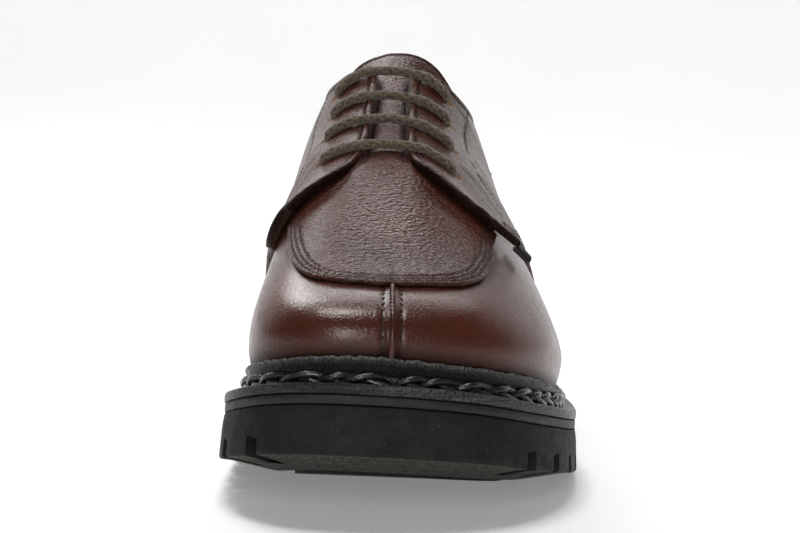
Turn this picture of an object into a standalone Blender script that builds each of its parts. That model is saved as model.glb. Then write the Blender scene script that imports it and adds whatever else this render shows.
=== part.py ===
"""Left derby shoe with a split toe, a raised apron and a lugged rubber sole.

Metres, +Z up. The toe points to -Y, the wearer's outer side (lateral) is +X, the floor is z = 0.
Every piece of leather is taken from one surface, last(along, up): along runs round the shoe from
the toe (0) to the heel (1, or -1 on the medial side), up runs from the feather edge to the ridge.
"""

import math

import bmesh
import bpy
import numpy as np

MM = 0.001

# Wall thicknesses and clearances
WALL = 1.8 * MM
GAP = 0.4 * MM
QUARTER_THICK = 2.1 * MM
APRON_THICK = 1.5 * MM
TONGUE_THICK = 2.0 * MM
TONGUE_GAP = 0.9 * MM
SEAT_GAP = 0.3 * MM
FEATHER_LIFT = 1.9 * MM

# Layers of the bottom, from the ledge down
WELT_FLANGE = 3.0 * MM
WELT_THICK = 1.5 * MM
WELT_TAPER = 0.7 * MM
WELT_SPREAD = 1.2 * MM
WELT_ROUND = 0.9 * MM
WELT_INNER = 0.4 * MM
MIDSOLE_THICK = 2.7 * MM
MIDSOLE_INSET = 0.3 * MM
INSOLE_PROUD = 3.0 * MM
INSOLE_INSET = 1.0 * MM
INSOLE_ROUND = 0.8 * MM

# The rubber: a band under the midsole, a step, a side that flares to the tread, and lugs
RUBBER_BAND = 3.0 * MM
RUBBER_STEP = 1.0 * MM
RUBBER_DRAFT = 0.7 * MM
RUBBER_FLARE = 1.0 * MM
RUBBER_ROUND = 0.5 * MM
LUG_DEPTH = 4.4 * MM
LUG_GROOVE = 4.6 * MM
LUG_REACH = 10.0 * MM
LUG_PITCH = 13.5 * MM
LUG_START = 50.0 * MM
LUG_END_Y = -10.0 * MM
CUTTER_REACH = 3.0 * MM
CHANNEL_INSET = 19.0 * MM
CHANNEL_END = 0.45
GROOVE_PLACES_Y = (-104.0, -84.0, -64.0, -44.0, -24.0)
GROOVE_HALF = 17.0 * MM
GROOVE_MIDDLE = -1.0 * MM
HEEL_BREAST_Y = 68.0 * MM
HEEL_FLARE = 0.7 * MM
HEEL_GAP = 0.5 * MM

# Finishes: colour and roughness
BROWN_LEATHER = ((0.085, 0.028, 0.018), 0.38)
BLACK_LEATHER = ((0.02, 0.02, 0.021), 0.5)
BLACK_RUBBER = ((0.018, 0.018, 0.017), 0.75)
TAN_LINING = ((0.45, 0.3, 0.18), 0.7)
BROWN_CORD = ((0.05, 0.038, 0.028), 0.85)
BLACK_TAPE = ((0.015, 0.015, 0.014), 0.9)

# Lacing: where each bar crosses the facings' edges, and the place of the eyelet at either end
LACE_RADIUS = 1.25 * MM
EYELET_RADIUS = 1.5 * MM
EYELET_SIDES = 8
EYELETS = (
    # crossing, lateral along, lateral up, medial along, medial up
    (0.490, 0.497, 0.819, 0.508, 0.742),
    (0.435, 0.443, 0.816, 0.462, 0.727),
    (0.381, 0.377, 0.822, 0.403, 0.727),
    (0.330, 0.320, 0.819, 0.344, 0.727),
)

# The widest line of the last, seen from above, and its ridge, one row for each section, in mm:
# lateral and medial points, height of the widest line above the ledge, tuck of the feather edge
# under it, ridge point, and the two handles that round the wall into the ridge.
SECTION_COLUMNS = (
    "lat_x", "lat_y", "med_x", "med_y", "bulge", "tuck", "mid_x", "top_y", "top_z",
    "lat_rise", "med_rise", "run",
)
SECTIONS = (
    (-6.6, -145.0, -6.6, -145.0, 13.0, 2.0, -6.6, -113.0, 69.0, 0.62, 0.62, 0.50),
    (18.4, -136.0, -30.1, -144.5, 13.0, 2.2, -6.6, -109.0, 71.0, 0.60, 0.63, 0.50),
    (33.9, -116.5, -42.6, -130.5, 13.5, 2.6, -6.9, -101.0, 75.5, 0.48, 0.65, 0.52),
    (42.6, -92.0, -46.0, -105.0, 14.5, 3.0, -7.8, -88.5, 83.0, 0.32, 0.68, 0.57),
    (46.6, -66.0, -45.6, -75.5, 15.0, 3.3, -9.2, -68.0, 94.0, 0.17, 0.67, 0.57),
    (47.0, -38.0, -44.6, -45.0, 16.0, 3.4, -9.4, -40.0, 106.5, 0.09, 0.62, 0.53),
    (42.4, -8.5, -42.8, -13.5, 17.0, 3.5, -8.4, -12.0, 119.5, 0.08, 0.56, 0.48),
    (35.9, 22.0, -41.1, 19.0, 18.0, 3.5, -6.8, 14.0, 134.0, 0.00, 0.40, 0.58),
    (33.2, 53.0, -39.9, 51.0, 20.0, 3.5, -5.8, 44.0, 137.0, 0.20, 0.32, 0.45),
    (32.4, 84.0, -40.1, 83.5, 22.0, 3.5, -5.1, 80.0, 137.0, 0.24, 0.24, 0.45),
    (30.9, 112.0, -39.1, 112.5, 23.0, 3.5, -4.6, 107.0, 136.0, 0.22, 0.22, 0.45),
    (21.4, 135.0, -30.6, 135.5, 24.0, 3.5, -4.6, 127.0, 135.0, 0.22, 0.22, 0.45),
    (-4.6, 148.0, -4.6, 148.0, 24.0, 3.5, -4.6, 136.5, 135.0, 0.22, 0.22, 0.45),
)
ANKLE_HALF = 26.0 * MM
RIDGE_END = 7
UP_WIDEST = 0.2
CORNER_LIFT = 0.7

# Floor profile along the shoe, in mm: underside of the rubber and top of the welt ledge
SOLE_COLUMNS = ("y", "tread", "ledge")
SOLE_PROFILE = (
    (-157.0, 21.5, 42.0),
    (-130.0, 14.5, 34.2),
    (-105.0, 9.4, 28.8),
    (-80.0, 5.0, 24.6),
    (-58.0, 1.9, 22.2),
    (-45.0, 0.4, 21.6),
    (-35.0, 0.0, 21.4),
    (-15.0, 0.0, 22.2),
    (0.0, 3.0, 23.6),
    (20.0, 9.0, 26.5),
    (45.0, 15.0, 30.5),
    (68.0, 19.5, 33.5),
    (110.0, 21.0, 36.0),
    (157.0, 22.0, 36.5),
)

# How far the welt reaches past the upper and how high it stands against it, in mm
WELT_COLUMNS = ("along", "lateral", "medial", "upstand")
WELT = (
    (0.0, 7.0, 7.0, 9.5),
    (0.15, 6.0, 6.5, 8.6),
    (0.24, 5.5, 6.3, 7.0),
    (0.35, 5.0, 6.0, 6.5),
    (0.55, 4.2, 4.5, 6.2),
    (0.75, 3.6, 3.6, 6.0),
    (1.0, 3.4, 3.4, 6.0),
)

# The edge that runs round the shoe: apron seam, quarter's front edge, throat, facing top, collar
EDGE_COLUMNS = ("along", "lateral", "medial")
EDGE = (
    (0.0, 0.738, 0.738),
    (0.05, 0.703, 0.727),
    (0.08, 0.658, 0.688),
    (0.10, 0.635, 0.652),
    (0.125, 0.631, 0.614),
    (0.155, 0.648, 0.597),
    (0.195, 0.668, 0.585),
    (0.22, 0.690, 0.581),
    (0.24, 0.745, 0.582),
    (0.25, 0.823, 0.586),
    (0.264, 0.873, 0.615),
    (0.272, 0.893, 0.694),
    (0.278, 0.903, 0.765),
    (0.288, 0.922, 0.825),
    (0.305, 0.940, 0.870),
    (0.33, 0.950, 0.907),
    (0.37, 0.948, 0.928),
    (0.475, 0.942, 0.934),
    (0.50, 0.937, 0.927),
    (0.51, 0.922, 0.898),
    (0.518, 0.882, 0.860),
    (0.526, 0.830, 0.822),
    (0.54, 0.780, 0.765),
    (0.565, 0.732, 0.714),
    (0.60, 0.688, 0.672),
    (0.64, 0.642, 0.635),
    (0.69, 0.60, 0.60),
    (0.76, 0.578, 0.578),
    (0.85, 0.60, 0.60),
    (0.93, 0.65, 0.65),
    (1.0, 0.68, 0.68),
)
THROAT_ALONG = 0.30

# The apron stays clear of the quarters, from a place along it and over a stretch
APRON_CLEAR = 0.014
APRON_NARROWS_FROM = 0.22
APRON_NARROWS_OVER = 0.02

# The tongue: its ends along the shoe, the height of its sides, their rise near the top, and how
# far the top's sides flare out past the facings
TONGUE_START, TONGUE_END = 0.262, 0.56
TONGUE_SIDE = 0.74
TONGUE_SIDE_RISE = 0.075
TONGUE_RISE_FROM = 0.50
TONGUE_FLARE = 2.7 * MM
TONGUE_FLARE_FROM = 0.532
TONGUE_CROWN = 0.10

# The split-toe seam: half its width along the toe, its distance from welt and apron, its thickness
TOE_SEAM_HALF = 0.007
TOE_SEAM_CLEAR = 0.012
TOE_SEAM_THICK = 1.0 * MM

# The quarter's front edge from welt (share 0 of the edge height) to the apron seam (share 1)
FRONT_COLUMNS = ("share", "lateral", "medial")
QUARTER_FRONT = (
    (0.0, 0.500, 0.470),
    (0.30, 0.475, 0.420),
    (0.45, 0.445, 0.352),
    (0.52, 0.422, 0.308),
    (0.64, 0.362, 0.289),
    (0.73, 0.298, 0.282),
    (0.79, 0.248, 0.278),
    (0.89, 0.241, 0.272),
    (1.0, 0.236, 0.266),
)

# The quarter's front lip gapes: how far it stands off, over what reach, and where along it dies out
LIP_LIFT = 2.2 * MM
LIP_REACH = 16.0 * MM
LIP_FULL_ALONG = 0.27
LIP_END_ALONG = 0.31
LIP_TIP_LATERAL = 0.79
LIP_TIP_MEDIAL = 0.52

# The tag under the lateral lip's tip: stretch along the seam, hang below it, how far it stands out
TAG_START, TAG_END = 0.258, 0.275
TAG_TOP = 0.612
TAG_HANG = 0.045
TAG_LIFTS = (5.0 * MM, 2.1 * MM)
TAG_THICK = 0.9 * MM

# Rows of the shared grid along one side, as (end of the stretch, number of rows in it)
GRID_STRETCHES = ((0.235, 9), (0.33, 6), (0.50, 5), (0.532, 4), (0.64, 3), (0.82, 4), (1.0, 7))
BAND_SHARES = (0.0, 0.17, 0.35, 0.52, 0.64, 0.73, 0.79, 0.89, 1.0)
VAMP_STEPS = 4

RING = 2.0
TINY = 1e-5
HEEL_SEAM_HALF = 0.0006


def column(table, columns, name):
    """One named column of a table as an array."""
    return np.array([row[columns.index(name)] for row in table], float)


def closed_spline(knots, values):
    """A curve with continuous curvature through values at knots on a ring of length RING."""
    count = len(knots)
    gap = np.diff(np.append(knots, knots[0] + RING))
    step = (np.roll(values, -1) - values) / gap
    system = np.zeros((count, count))
    for i in range(count):
        system[i, i - 1] += gap[i - 1]
        system[i, i] += 2 * (gap[i - 1] + gap[i])
        system[i, (i + 1) % count] += gap[i]
    bend = np.linalg.solve(system, 6 * (step - np.roll(step, 1)))

    def curve(along):
        turn = (np.asarray(along, float) - knots[0]) % RING + knots[0]
        i = np.clip(np.searchsorted(knots, turn, side="right") - 1, 0, count - 1)
        j = (i + 1) % count
        right = (turn - knots[i]) / gap[i]
        left = 1 - right
        bow = (left**3 - left) * bend[i] + (right**3 - right) * bend[j]
        return left * values[i] + right * values[j] + bow * gap[i] ** 2 / 6

    return curve


def steady_curve(places, values):
    """A smooth curve through values that never swings past them, so flat stretches stay flat."""
    gap = np.diff(places)
    step = np.diff(values) / gap
    slope = np.zeros(len(places))
    slope[0], slope[-1] = step[0], step[-1]
    for i in range(1, len(places) - 1):
        if step[i - 1] * step[i] > 0:
            near, far = 2 * gap[i] + gap[i - 1], gap[i] + 2 * gap[i - 1]
            slope[i] = (near + far) / (near / step[i - 1] + far / step[i])

    def curve(place):
        place = np.clip(np.asarray(place, float), places[0], places[-1])
        i = np.clip(np.searchsorted(places, place, side="right") - 1, 0, len(gap) - 1)
        t = (place - places[i]) / gap[i]
        rest = 1 - t
        ends = rest**2 * (1 + 2 * t) * values[i] + t**2 * (1 + 2 * rest) * values[i + 1]
        return ends + t * rest * gap[i] * (rest * slope[i] - t * slope[i + 1])

    return curve


def section_knots():
    """Shares of the outline's length at each section, the mean of both sides."""
    total = np.zeros(len(SECTIONS))
    for side in ("lat", "med"):
        x = column(SECTIONS, SECTION_COLUMNS, side + "_x")
        y = column(SECTIONS, SECTION_COLUMNS, side + "_y")
        total[1:] += np.cumsum(np.hypot(np.diff(x), np.diff(y)))
    return total / total[-1]


SHARES = section_knots()
RING_KNOTS = np.concatenate([-SHARES[:0:-1], SHARES[:-1]])
RIDGE_SHARE = SHARES[RIDGE_END]


def section_curve(lateral, medial, scale=MM):
    """A column on the lateral side and one on the medial side, as one curve round the shoe."""
    right = column(SECTIONS, SECTION_COLUMNS, lateral)
    left = column(SECTIONS, SECTION_COLUMNS, medial)
    return closed_spline(RING_KNOTS, np.concatenate([left[:0:-1], right[:-1]]) * scale)


wide_x = section_curve("lat_x", "med_x")
wide_y = section_curve("lat_y", "med_y")
bulge = section_curve("bulge", "bulge")
tuck = section_curve("tuck", "tuck")
mid_x = section_curve("mid_x", "mid_x")
top_y = section_curve("top_y", "top_y")
top_z = section_curve("top_z", "top_z")
rise = section_curve("lat_rise", "med_rise", 1.0)
run = section_curve("run", "run", 1.0)

sole_y = column(SOLE_PROFILE, SOLE_COLUMNS, "y") * MM
tread = steady_curve(sole_y, column(SOLE_PROFILE, SOLE_COLUMNS, "tread") * MM)
ledge = steady_curve(sole_y, column(SOLE_PROFILE, SOLE_COLUMNS, "ledge") * MM)

welt_along = column(WELT, WELT_COLUMNS, "along")
reach_lateral = steady_curve(welt_along, column(WELT, WELT_COLUMNS, "lateral") * MM)
reach_medial = steady_curve(welt_along, column(WELT, WELT_COLUMNS, "medial") * MM)
upstand = steady_curve(welt_along, column(WELT, WELT_COLUMNS, "upstand") * MM)

edge_along = column(EDGE, EDGE_COLUMNS, "along")
edge_lateral = steady_curve(edge_along, column(EDGE, EDGE_COLUMNS, "lateral"))
edge_medial = steady_curve(edge_along, column(EDGE, EDGE_COLUMNS, "medial"))

front_share = column(QUARTER_FRONT, FRONT_COLUMNS, "share")
front_lateral = steady_curve(front_share, column(QUARTER_FRONT, FRONT_COLUMNS, "lateral"))
front_medial = steady_curve(front_share, column(QUARTER_FRONT, FRONT_COLUMNS, "medial"))


def edge_up(along):
    """How far up the wall the edge lies."""
    along = np.asarray(along, float)
    return np.where(along >= 0, edge_lateral(np.abs(along)), edge_medial(np.abs(along)))


def front_along(shares, sign):
    """Where the quarter of one side starts, for shares of the edge's height."""
    return front_lateral(shares) if sign > 0 else front_medial(shares)


def outward(along):
    """The level direction out of the widest line."""
    small = 1e-4
    dx = wide_x(along + small) - wide_x(along - small)
    dy = wide_y(along + small) - wide_y(along - small)
    length = np.hypot(dx, dy)
    return dy / length, -dx / length


def outline(along, reach):
    """The widest line in plan, moved out by reach."""
    out_x, out_y = outward(along)
    return wide_x(along) + out_x * reach, wide_y(along) + out_y * reach


def stack(x, y, z):
    return np.stack(np.broadcast_arrays(x, y, z), axis=-1)


def smooth_step(value):
    value = np.clip(value, 0, 1)
    return value * value * (3 - 2 * value)


def last(along, up):
    """A point of the inside of the upper."""
    along, up = np.broadcast_arrays(np.asarray(along, float), np.asarray(up, float))
    wide = stack(wide_x(along), wide_y(along), ledge(wide_y(along)) + bulge(along))
    foot_x, foot_y = outline(along, -tuck(along))
    foot = stack(foot_x, foot_y, ledge(foot_y) + FEATHER_LIFT)
    corner = stack(wide[..., 0], wide[..., 1], foot[..., 2] * (1 - CORNER_LIFT) + wide[..., 2] * CORNER_LIFT)

    # Past the ridge's end the top opens into the ankle's oval
    past = np.clip((np.abs(along) - RIDGE_SHARE) / (1 - RIDGE_SHARE), 0, 1)
    half = ANKLE_HALF * smooth_step(past / 0.4) * (1 - past**4) ** 0.6 * np.sign(along)
    top = stack(mid_x(along) + half, top_y(along), top_z(along))
    upright = smooth_step(past / 0.3)[..., None]

    small = 1e-3
    inside = np.clip(np.abs(along), 0.02, 0.98)
    ahead, behind = inside + small, inside - small
    slope = (top_z(ahead) - top_z(behind)) / (top_y(ahead) - top_y(behind))
    inward = top - wide
    flat = stack(inward[..., 0], inward[..., 1], inward[..., 1] * slope)
    wall = stack(0.0, 0.0, inward[..., 2])
    lift = stack(0.0, 0.0, rise(along) * inward[..., 2])
    back = run(along)[..., None] * ((1 - upright) * flat + upright * wall)

    low = np.clip(up / UP_WIDEST, 0, 1)[..., None]
    high = np.clip((up - UP_WIDEST) / (1 - UP_WIDEST), 0, 1)[..., None]
    lower = (1 - low) ** 2 * foot + 2 * low * (1 - low) * corner + low**2 * wide
    upper = (1 - high) ** 3 * wide + 3 * high * (1 - high) ** 2 * (wide + lift)
    upper = upper + 3 * high**2 * (1 - high) * (top - back) + high**3 * top
    return np.where((up < UP_WIDEST)[..., None], lower, upper)


def last_normal(along, up):
    """The outward normal of last, shared by both sides on the ridge."""
    along, up = np.broadcast_arrays(np.asarray(along, float), np.asarray(up, float))
    small = 1e-4
    on_ridge = ((up > 1 - small) & (np.abs(along) < RIDGE_SHARE))[..., None]
    near = np.minimum(up, 0.985)
    low, high = np.clip(near - small, 0, 1), near + small

    def raw(place):
        round_shoe = last(place + small, near) - last(place - small, near)
        normal = np.cross(round_shoe, last(place, high) - last(place, low))
        return normal / np.linalg.norm(normal, axis=-1, keepdims=True)

    normal = raw(along)
    both = normal + raw(-along)
    return np.where(on_ridge, both / np.linalg.norm(both, axis=-1, keepdims=True), normal)


def raised(along, up, lift):
    """A point over the last by lift."""
    return last(along, up) + last_normal(along, up) * np.asarray(lift, float)[..., None]


def up_at_height(along, height):
    """The share of the wall that lies this far above the ledge."""
    shares = np.linspace(0, UP_WIDEST * 1.5, 60)
    found = []
    for place, rise_here in zip(*np.broadcast_arrays(along, height)):
        z = last(place, shares)[:, 2] - ledge(wide_y(place))
        found.append(np.interp(rise_here, z, shares))
    return np.array(found)


def over_welt(along):
    """The share of the wall just above the welt's upstand."""
    flat = np.ravel(along)
    return up_at_height(flat, upstand(np.abs(flat)) + 3 * GAP).reshape(np.shape(along))


def grid_rows():
    """Places along one side that every piece of leather shares."""
    rows, start = [0.0], 0.0
    for end, count in GRID_STRETCHES:
        rows.extend(start + (end - start) * (np.arange(count) + 1) / count)
        start = end
    return np.array(rows)


# Scene helpers

def clear_scene():
    for obj in list(bpy.data.objects):
        bpy.data.objects.remove(obj)


def collection(name):
    made = bpy.data.collections.new(name)
    bpy.context.scene.collection.children.link(made)
    return made


def material(name, finish):
    """A node's own material from a finish."""
    colour, roughness = finish
    made = bpy.data.materials.new(name)
    made.use_nodes = True
    shader = made.node_tree.nodes["Principled BSDF"]
    shader.inputs["Base Color"].default_value = (*colour, 1.0)
    shader.inputs["Roughness"].default_value = roughness
    shader.inputs["Metallic"].default_value = 0.0
    return made


def mesh_object(name, points, faces, home, finish=None):
    """A mesh from points and faces, with points that coincide made one."""
    mesh = bpy.data.meshes.new(name)
    mesh.from_pydata([tuple(p) for p in points], [], faces)
    work = bmesh.new()
    work.from_mesh(mesh)
    bmesh.ops.remove_doubles(work, verts=work.verts, dist=TINY)
    bmesh.ops.dissolve_degenerate(work, edges=work.edges, dist=TINY / 10)
    work.to_mesh(mesh)
    work.free()
    mesh.shade_smooth()
    if finish is not None:
        mesh.materials.append(material(name, finish))
    obj = bpy.data.objects.new(name, mesh)
    home.objects.link(obj)
    return obj


def grid_faces(rows, columns, start=0, closed=False):
    """Quads over a grid of points stored row by row."""
    faces = []
    for i in range(rows if closed else rows - 1):
        below, above = start + i * columns, start + (i + 1) % rows * columns
        for j in range(columns - 1):
            faces.append((below + j, above + j, above + j + 1, below + j + 1))
    return faces


def sheet(name, grids, thickness, home, finish):
    """One open surface from grids of points, made a solid by its thickness."""
    points, faces = [], []
    for grid in grids:
        rows, columns = grid.shape[:2]
        faces.extend(grid_faces(rows, columns, len(points)))
        points.extend(grid.reshape(-1, 3))
    obj = mesh_object(name, points, faces, home, finish)
    solid = obj.modifiers.new("thickness", "SOLIDIFY")
    solid.thickness = thickness
    solid.offset = 1.0
    solid.use_rim = True
    return obj


def ladder_caps(count, start, flip):
    """Strips across a ring of points whose two sides mirror each other."""
    faces = []
    for i in range(count // 2):
        a, b = start + i, start + i + 1
        c, d = start + (count - i - 1) % count, start + (count - i) % count
        face = (a, b, c, d) if b != c else (a, b, d)
        face = tuple(dict.fromkeys(face))
        faces.append(face[::-1] if flip else face)
    return faces


def tower(name, loops, home, finish):
    """A solid from level-ish loops, bottom first, with caps that span from side to side."""
    count = len(loops[0])
    points = np.concatenate(loops)
    faces = ladder_caps(count, 0, flip=True)
    for k in range(len(loops) - 1):
        for i in range(count):
            j = (i + 1) % count
            faces.append((k * count + i, k * count + j, (k + 1) * count + j, (k + 1) * count + i))
    faces.extend(ladder_caps(count, (len(loops) - 1) * count, flip=False))
    return mesh_object(name, points, faces, home, finish)


def hoop(name, loops, home, finish):
    """A ring solid from loops that run round its own section."""
    count, turns = len(loops[0]), len(loops)
    points = np.concatenate(loops)
    faces = []
    for k in range(turns):
        below, above = k * count, (k + 1) % turns * count
        for i in range(count):
            j = (i + 1) % count
            faces.append((above + i, above + j, below + j, below + i))
    return mesh_object(name, points, faces, home, finish)


def ring_places():
    """Places round the shoe for the sole's loops: toe, lateral side, heel, medial side."""
    side = grid_rows()
    return np.concatenate([side[:-1], -side[:0:-1]])


def welt_reach(along):
    reach = np.where(along >= 0, reach_lateral(np.abs(along)), reach_medial(np.abs(along)))
    return reach + WALL


def sole_loop(along, reach, height):
    """A loop of the sole's outline with its height from a function of y."""
    x, y = outline(along, reach)
    return stack(x, y, height(y))


# The bottom

def midsole_top(y):
    return ledge(y) - WELT_FLANGE - SEAT_GAP


def rubber_top(y):
    return midsole_top(y) - MIDSOLE_THICK - SEAT_GAP


def make_outsole(home, finish):
    along = ring_places()
    reach = welt_reach(along)
    shoulder = reach + RUBBER_FLARE - RUBBER_DRAFT
    loops = [
        sole_loop(along, reach + RUBBER_FLARE - RUBBER_ROUND, tread),
        sole_loop(along, reach + RUBBER_FLARE, lambda y: tread(y) + 2 * RUBBER_ROUND),
        sole_loop(along, shoulder, lambda y: rubber_top(y) - RUBBER_BAND - RUBBER_STEP),
        sole_loop(along, shoulder - RUBBER_STEP, lambda y: rubber_top(y) - RUBBER_BAND),
        sole_loop(along, shoulder - RUBBER_STEP, rubber_top),
    ]
    return tower("outsole", loops, home, finish)


def make_midsole(home, finish):
    along = ring_places()
    reach = welt_reach(along) - MIDSOLE_INSET
    loops = [
        sole_loop(along, reach, lambda y: midsole_top(y) - MIDSOLE_THICK),
        sole_loop(along, reach, midsole_top),
    ]
    return tower("midsole", loops, home, finish)


def make_welt(home, finish):
    along = ring_places()
    reach = welt_reach(along)
    inner = -tuck(along) - WELT_INNER
    foot = up_at_height(along, SEAT_GAP)
    head = up_at_height(along, upstand(np.abs(along)))
    near, far = WALL + GAP, WALL + GAP + WELT_THICK
    ones = np.ones(len(along))

    def on_ledge(points):
        return stack(points[:, 0], points[:, 1], ledge(points[:, 1]))

    loops = [
        sole_loop(along, inner, lambda y: ledge(y) - WELT_FLANGE),
        sole_loop(along, inner, ledge),
        on_ledge(raised(along, foot, near * ones)),
        raised(along, (foot + head) / 2, near * ones),
        raised(along, head, near * ones),
        raised(along, head, (far - WELT_TAPER) * ones),
        raised(along, head * 0.9 + foot * 0.1, far * ones),
        on_ledge(raised(along, foot, (far + WELT_SPREAD) * ones)),
        sole_loop(along, reach - WELT_ROUND, ledge),
        sole_loop(along, reach, lambda y: ledge(y) - WELT_ROUND),
        sole_loop(along, reach, lambda y: ledge(y) - WELT_FLANGE),
    ]
    return hoop("welt", loops, home, finish)


def make_insole(home, finish):
    along = ring_places()
    inner = -tuck(along) - INSOLE_INSET
    loops = [
        sole_loop(along, inner, lambda y: ledge(y) - WELT_FLANGE),
        sole_loop(along, inner, lambda y: ledge(y) + INSOLE_PROUD - INSOLE_ROUND),
        sole_loop(along, inner - INSOLE_ROUND, lambda y: ledge(y) + INSOLE_PROUD),
    ]
    return tower("insole", loops, home, finish)


def heel_places():
    """Places from the breast round the heel, lateral side first."""
    sides = []
    for sign in (1.0, -1.0):
        tries = np.linspace(0.5, 0.95, 400)
        y = outline(sign * tries, welt_reach(sign * tries))[1]
        start = np.interp(HEEL_BREAST_Y, y, tries)
        sides.append(np.linspace(start, 1.0, 15))
    return np.concatenate([sides[0], -sides[1][-2::-1]])


def make_heel(home, finish):
    along = heel_places()
    widest = welt_reach(along) + HEEL_FLARE
    loops = [
        sole_loop(along, widest - RUBBER_ROUND, lambda y: 0.0 * y),
        sole_loop(along, widest, lambda y: 0.0 * y + 2 * RUBBER_ROUND),
        sole_loop(along, widest - RUBBER_ROUND, lambda y: tread(y) - HEEL_GAP),
    ]
    count = len(along)
    points = np.concatenate(loops)
    half = count // 2
    faces = []
    for k in range(len(loops) - 1):
        for i in range(count):
            j = (i + 1) % count
            faces.append((k * count + i, k * count + j, (k + 1) * count + j, (k + 1) * count + i))
    for level, flip in ((0, True), (len(loops) - 1, False)):
        for i in range(half):
            a, b = level * count + i, level * count + i + 1
            c, d = level * count + count - 2 - i, level * count + count - 1 - i
            face = tuple(dict.fromkeys((a, b, c, d)))
            faces.append(face[::-1] if flip else face)
    return mesh_object("heel", points, faces, home, finish)


# The tread

def hull_box(corners):
    """Eight corners, lower four then upper four, as one box's faces."""
    return corners, [(0, 3, 2, 1), (4, 5, 6, 7), (0, 1, 5, 4), (1, 2, 6, 5), (2, 3, 7, 6), (3, 0, 4, 7)]


def side_notch(along):
    """A notch through the sole's edge, a little narrower at its roof."""
    out_x, out_y = outward(along)
    corners = []
    for level, width in ((-CUTTER_REACH, LUG_GROOVE), (LUG_DEPTH, LUG_GROOVE * 0.8)):
        for depth, side in ((CUTTER_REACH, -0.5), (CUTTER_REACH, 0.5), (-LUG_REACH, 0.5), (-LUG_REACH, -0.5)):
            x, y = outline(along, welt_reach(along) + depth)
            corners.append((x - out_y * side * width, y + out_x * side * width, notch_floor(along) + level))
    return hull_box(corners)


def notch_floor(along):
    """The height of the tread at the sole's edge: the heel block's is the floor."""
    y = outline(along, welt_reach(along))[1]
    return np.where(y > HEEL_BREAST_Y, 0.0, tread(y))


def notch_places(sign):
    """Places of the side notches: the forefoot's behind the toe guard, then the heel's."""
    tries = sign * np.linspace(0, 1, 600)
    x, y = outline(tries, welt_reach(tries))
    walked = np.append(0.0, np.cumsum(np.hypot(np.diff(x), np.diff(y))))
    places = []
    for distance in np.arange(LUG_START, walked[-1] - LUG_PITCH, LUG_PITCH):
        at = np.interp(distance, walked, y)
        if at < LUG_END_Y or at > HEEL_BREAST_Y + LUG_PITCH:
            places.append(float(np.interp(distance, walked, tries)))
    return places


def centre_groove(y):
    """A groove across the middle of the forefoot."""
    corners = []
    for level in (-CUTTER_REACH, LUG_DEPTH):
        for side, ahead in ((-1, -0.5), (1, -0.5), (1, 0.5), (-1, 0.5)):
            corners.append((GROOVE_MIDDLE + side * GROOVE_HALF, y + ahead * LUG_GROOVE, tread(y) + level))
    return hull_box(corners)


def channel():
    """The channel that parts the edge lugs from the middle ones, round the toe."""
    along = np.linspace(-CHANNEL_END, CHANNEL_END, 27)
    reach = welt_reach(along) - CHANNEL_INSET
    rings = []
    for level, side in ((-CUTTER_REACH, -0.5), (-CUTTER_REACH, 0.5), (LUG_DEPTH, 0.5), (LUG_DEPTH, -0.5)):
        x, y = outline(along, reach + side * LUG_GROOVE)
        rings.append(stack(x, y, tread(y) + level))
    points = np.stack(rings, axis=1).reshape(-1, 3)
    faces = []
    for i in range(len(along) - 1):
        for j in range(4):
            k = (j + 1) % 4
            faces.append((4 * i + j, 4 * i + 4 + j, 4 * i + 4 + k, 4 * i + k))
    end = 4 * (len(along) - 1)
    faces.extend([(0, 1, 2, 3), (end + 3, end + 2, end + 1, end)])
    return points, faces


def cutter_object(name, pieces, cutters):
    """One mesh of separate closed pieces that only cuts."""
    points, faces = [], []
    for piece_points, piece_faces in pieces:
        faces.extend(tuple(len(points) + i for i in face) for face in piece_faces)
        points.extend(piece_points)
    obj = mesh_object(name, points, faces, cutters)
    work = bmesh.new()
    work.from_mesh(obj.data)
    bmesh.ops.recalc_face_normals(work, faces=work.faces)
    work.to_mesh(obj.data)
    work.free()
    obj.hide_render = True
    obj.display_type = "WIRE"
    return obj


def cut(obj, cutter):
    boolean = obj.modifiers.new(cutter.name, "BOOLEAN")
    boolean.operation = "DIFFERENCE"
    boolean.solver = "EXACT"
    boolean.object = cutter


def cut_tread(outsole, heel, cutters):
    places = notch_places(1.0) + notch_places(-1.0)
    front = [side_notch(place) for place in places if abs(place) < 0.6]
    rear = [side_notch(place) for place in places if abs(place) > 0.6]
    middle = [centre_groove(y * MM) for y in GROOVE_PLACES_Y]
    cut(outsole, cutter_object("tread_cutter", front + middle + [channel()], cutters))
    cut(heel, cutter_object("heel_cutter", rear, cutters))


# The leather

def band_grid(places, shares):
    """Along and up for the band under the edge, one row for each place."""
    along = np.repeat(np.asarray(places)[:, None], len(shares), axis=1)
    up = edge_up(along) * np.asarray(shares)[None, :]
    return along, up


def vamp_grid(places, inset=0.0):
    """Along and up from the edge to the ridge."""
    along = np.repeat(np.asarray(places)[:, None], VAMP_STEPS + 1, axis=1)
    start = edge_up(along) + inset
    up = start + (1 - start) * np.linspace(0, 1, VAMP_STEPS + 1)[None, :]
    return along, up


def surface(along, up, lift):
    return raised(along, up, lift * np.ones(np.shape(along)))


def make_upper(home, finish):
    side = grid_rows()
    ring = np.concatenate([-side[::-1], side[1:]])
    vamp_side = side[side <= THROAT_ALONG + TINY]
    vamp_ring = np.concatenate([-vamp_side[::-1], vamp_side[1:]])
    grids = [surface(*band_grid(ring, BAND_SHARES), 0.0), surface(*vamp_grid(vamp_ring), 0.0)]
    return sheet("upper", grids, WALL, home, finish)


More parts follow.
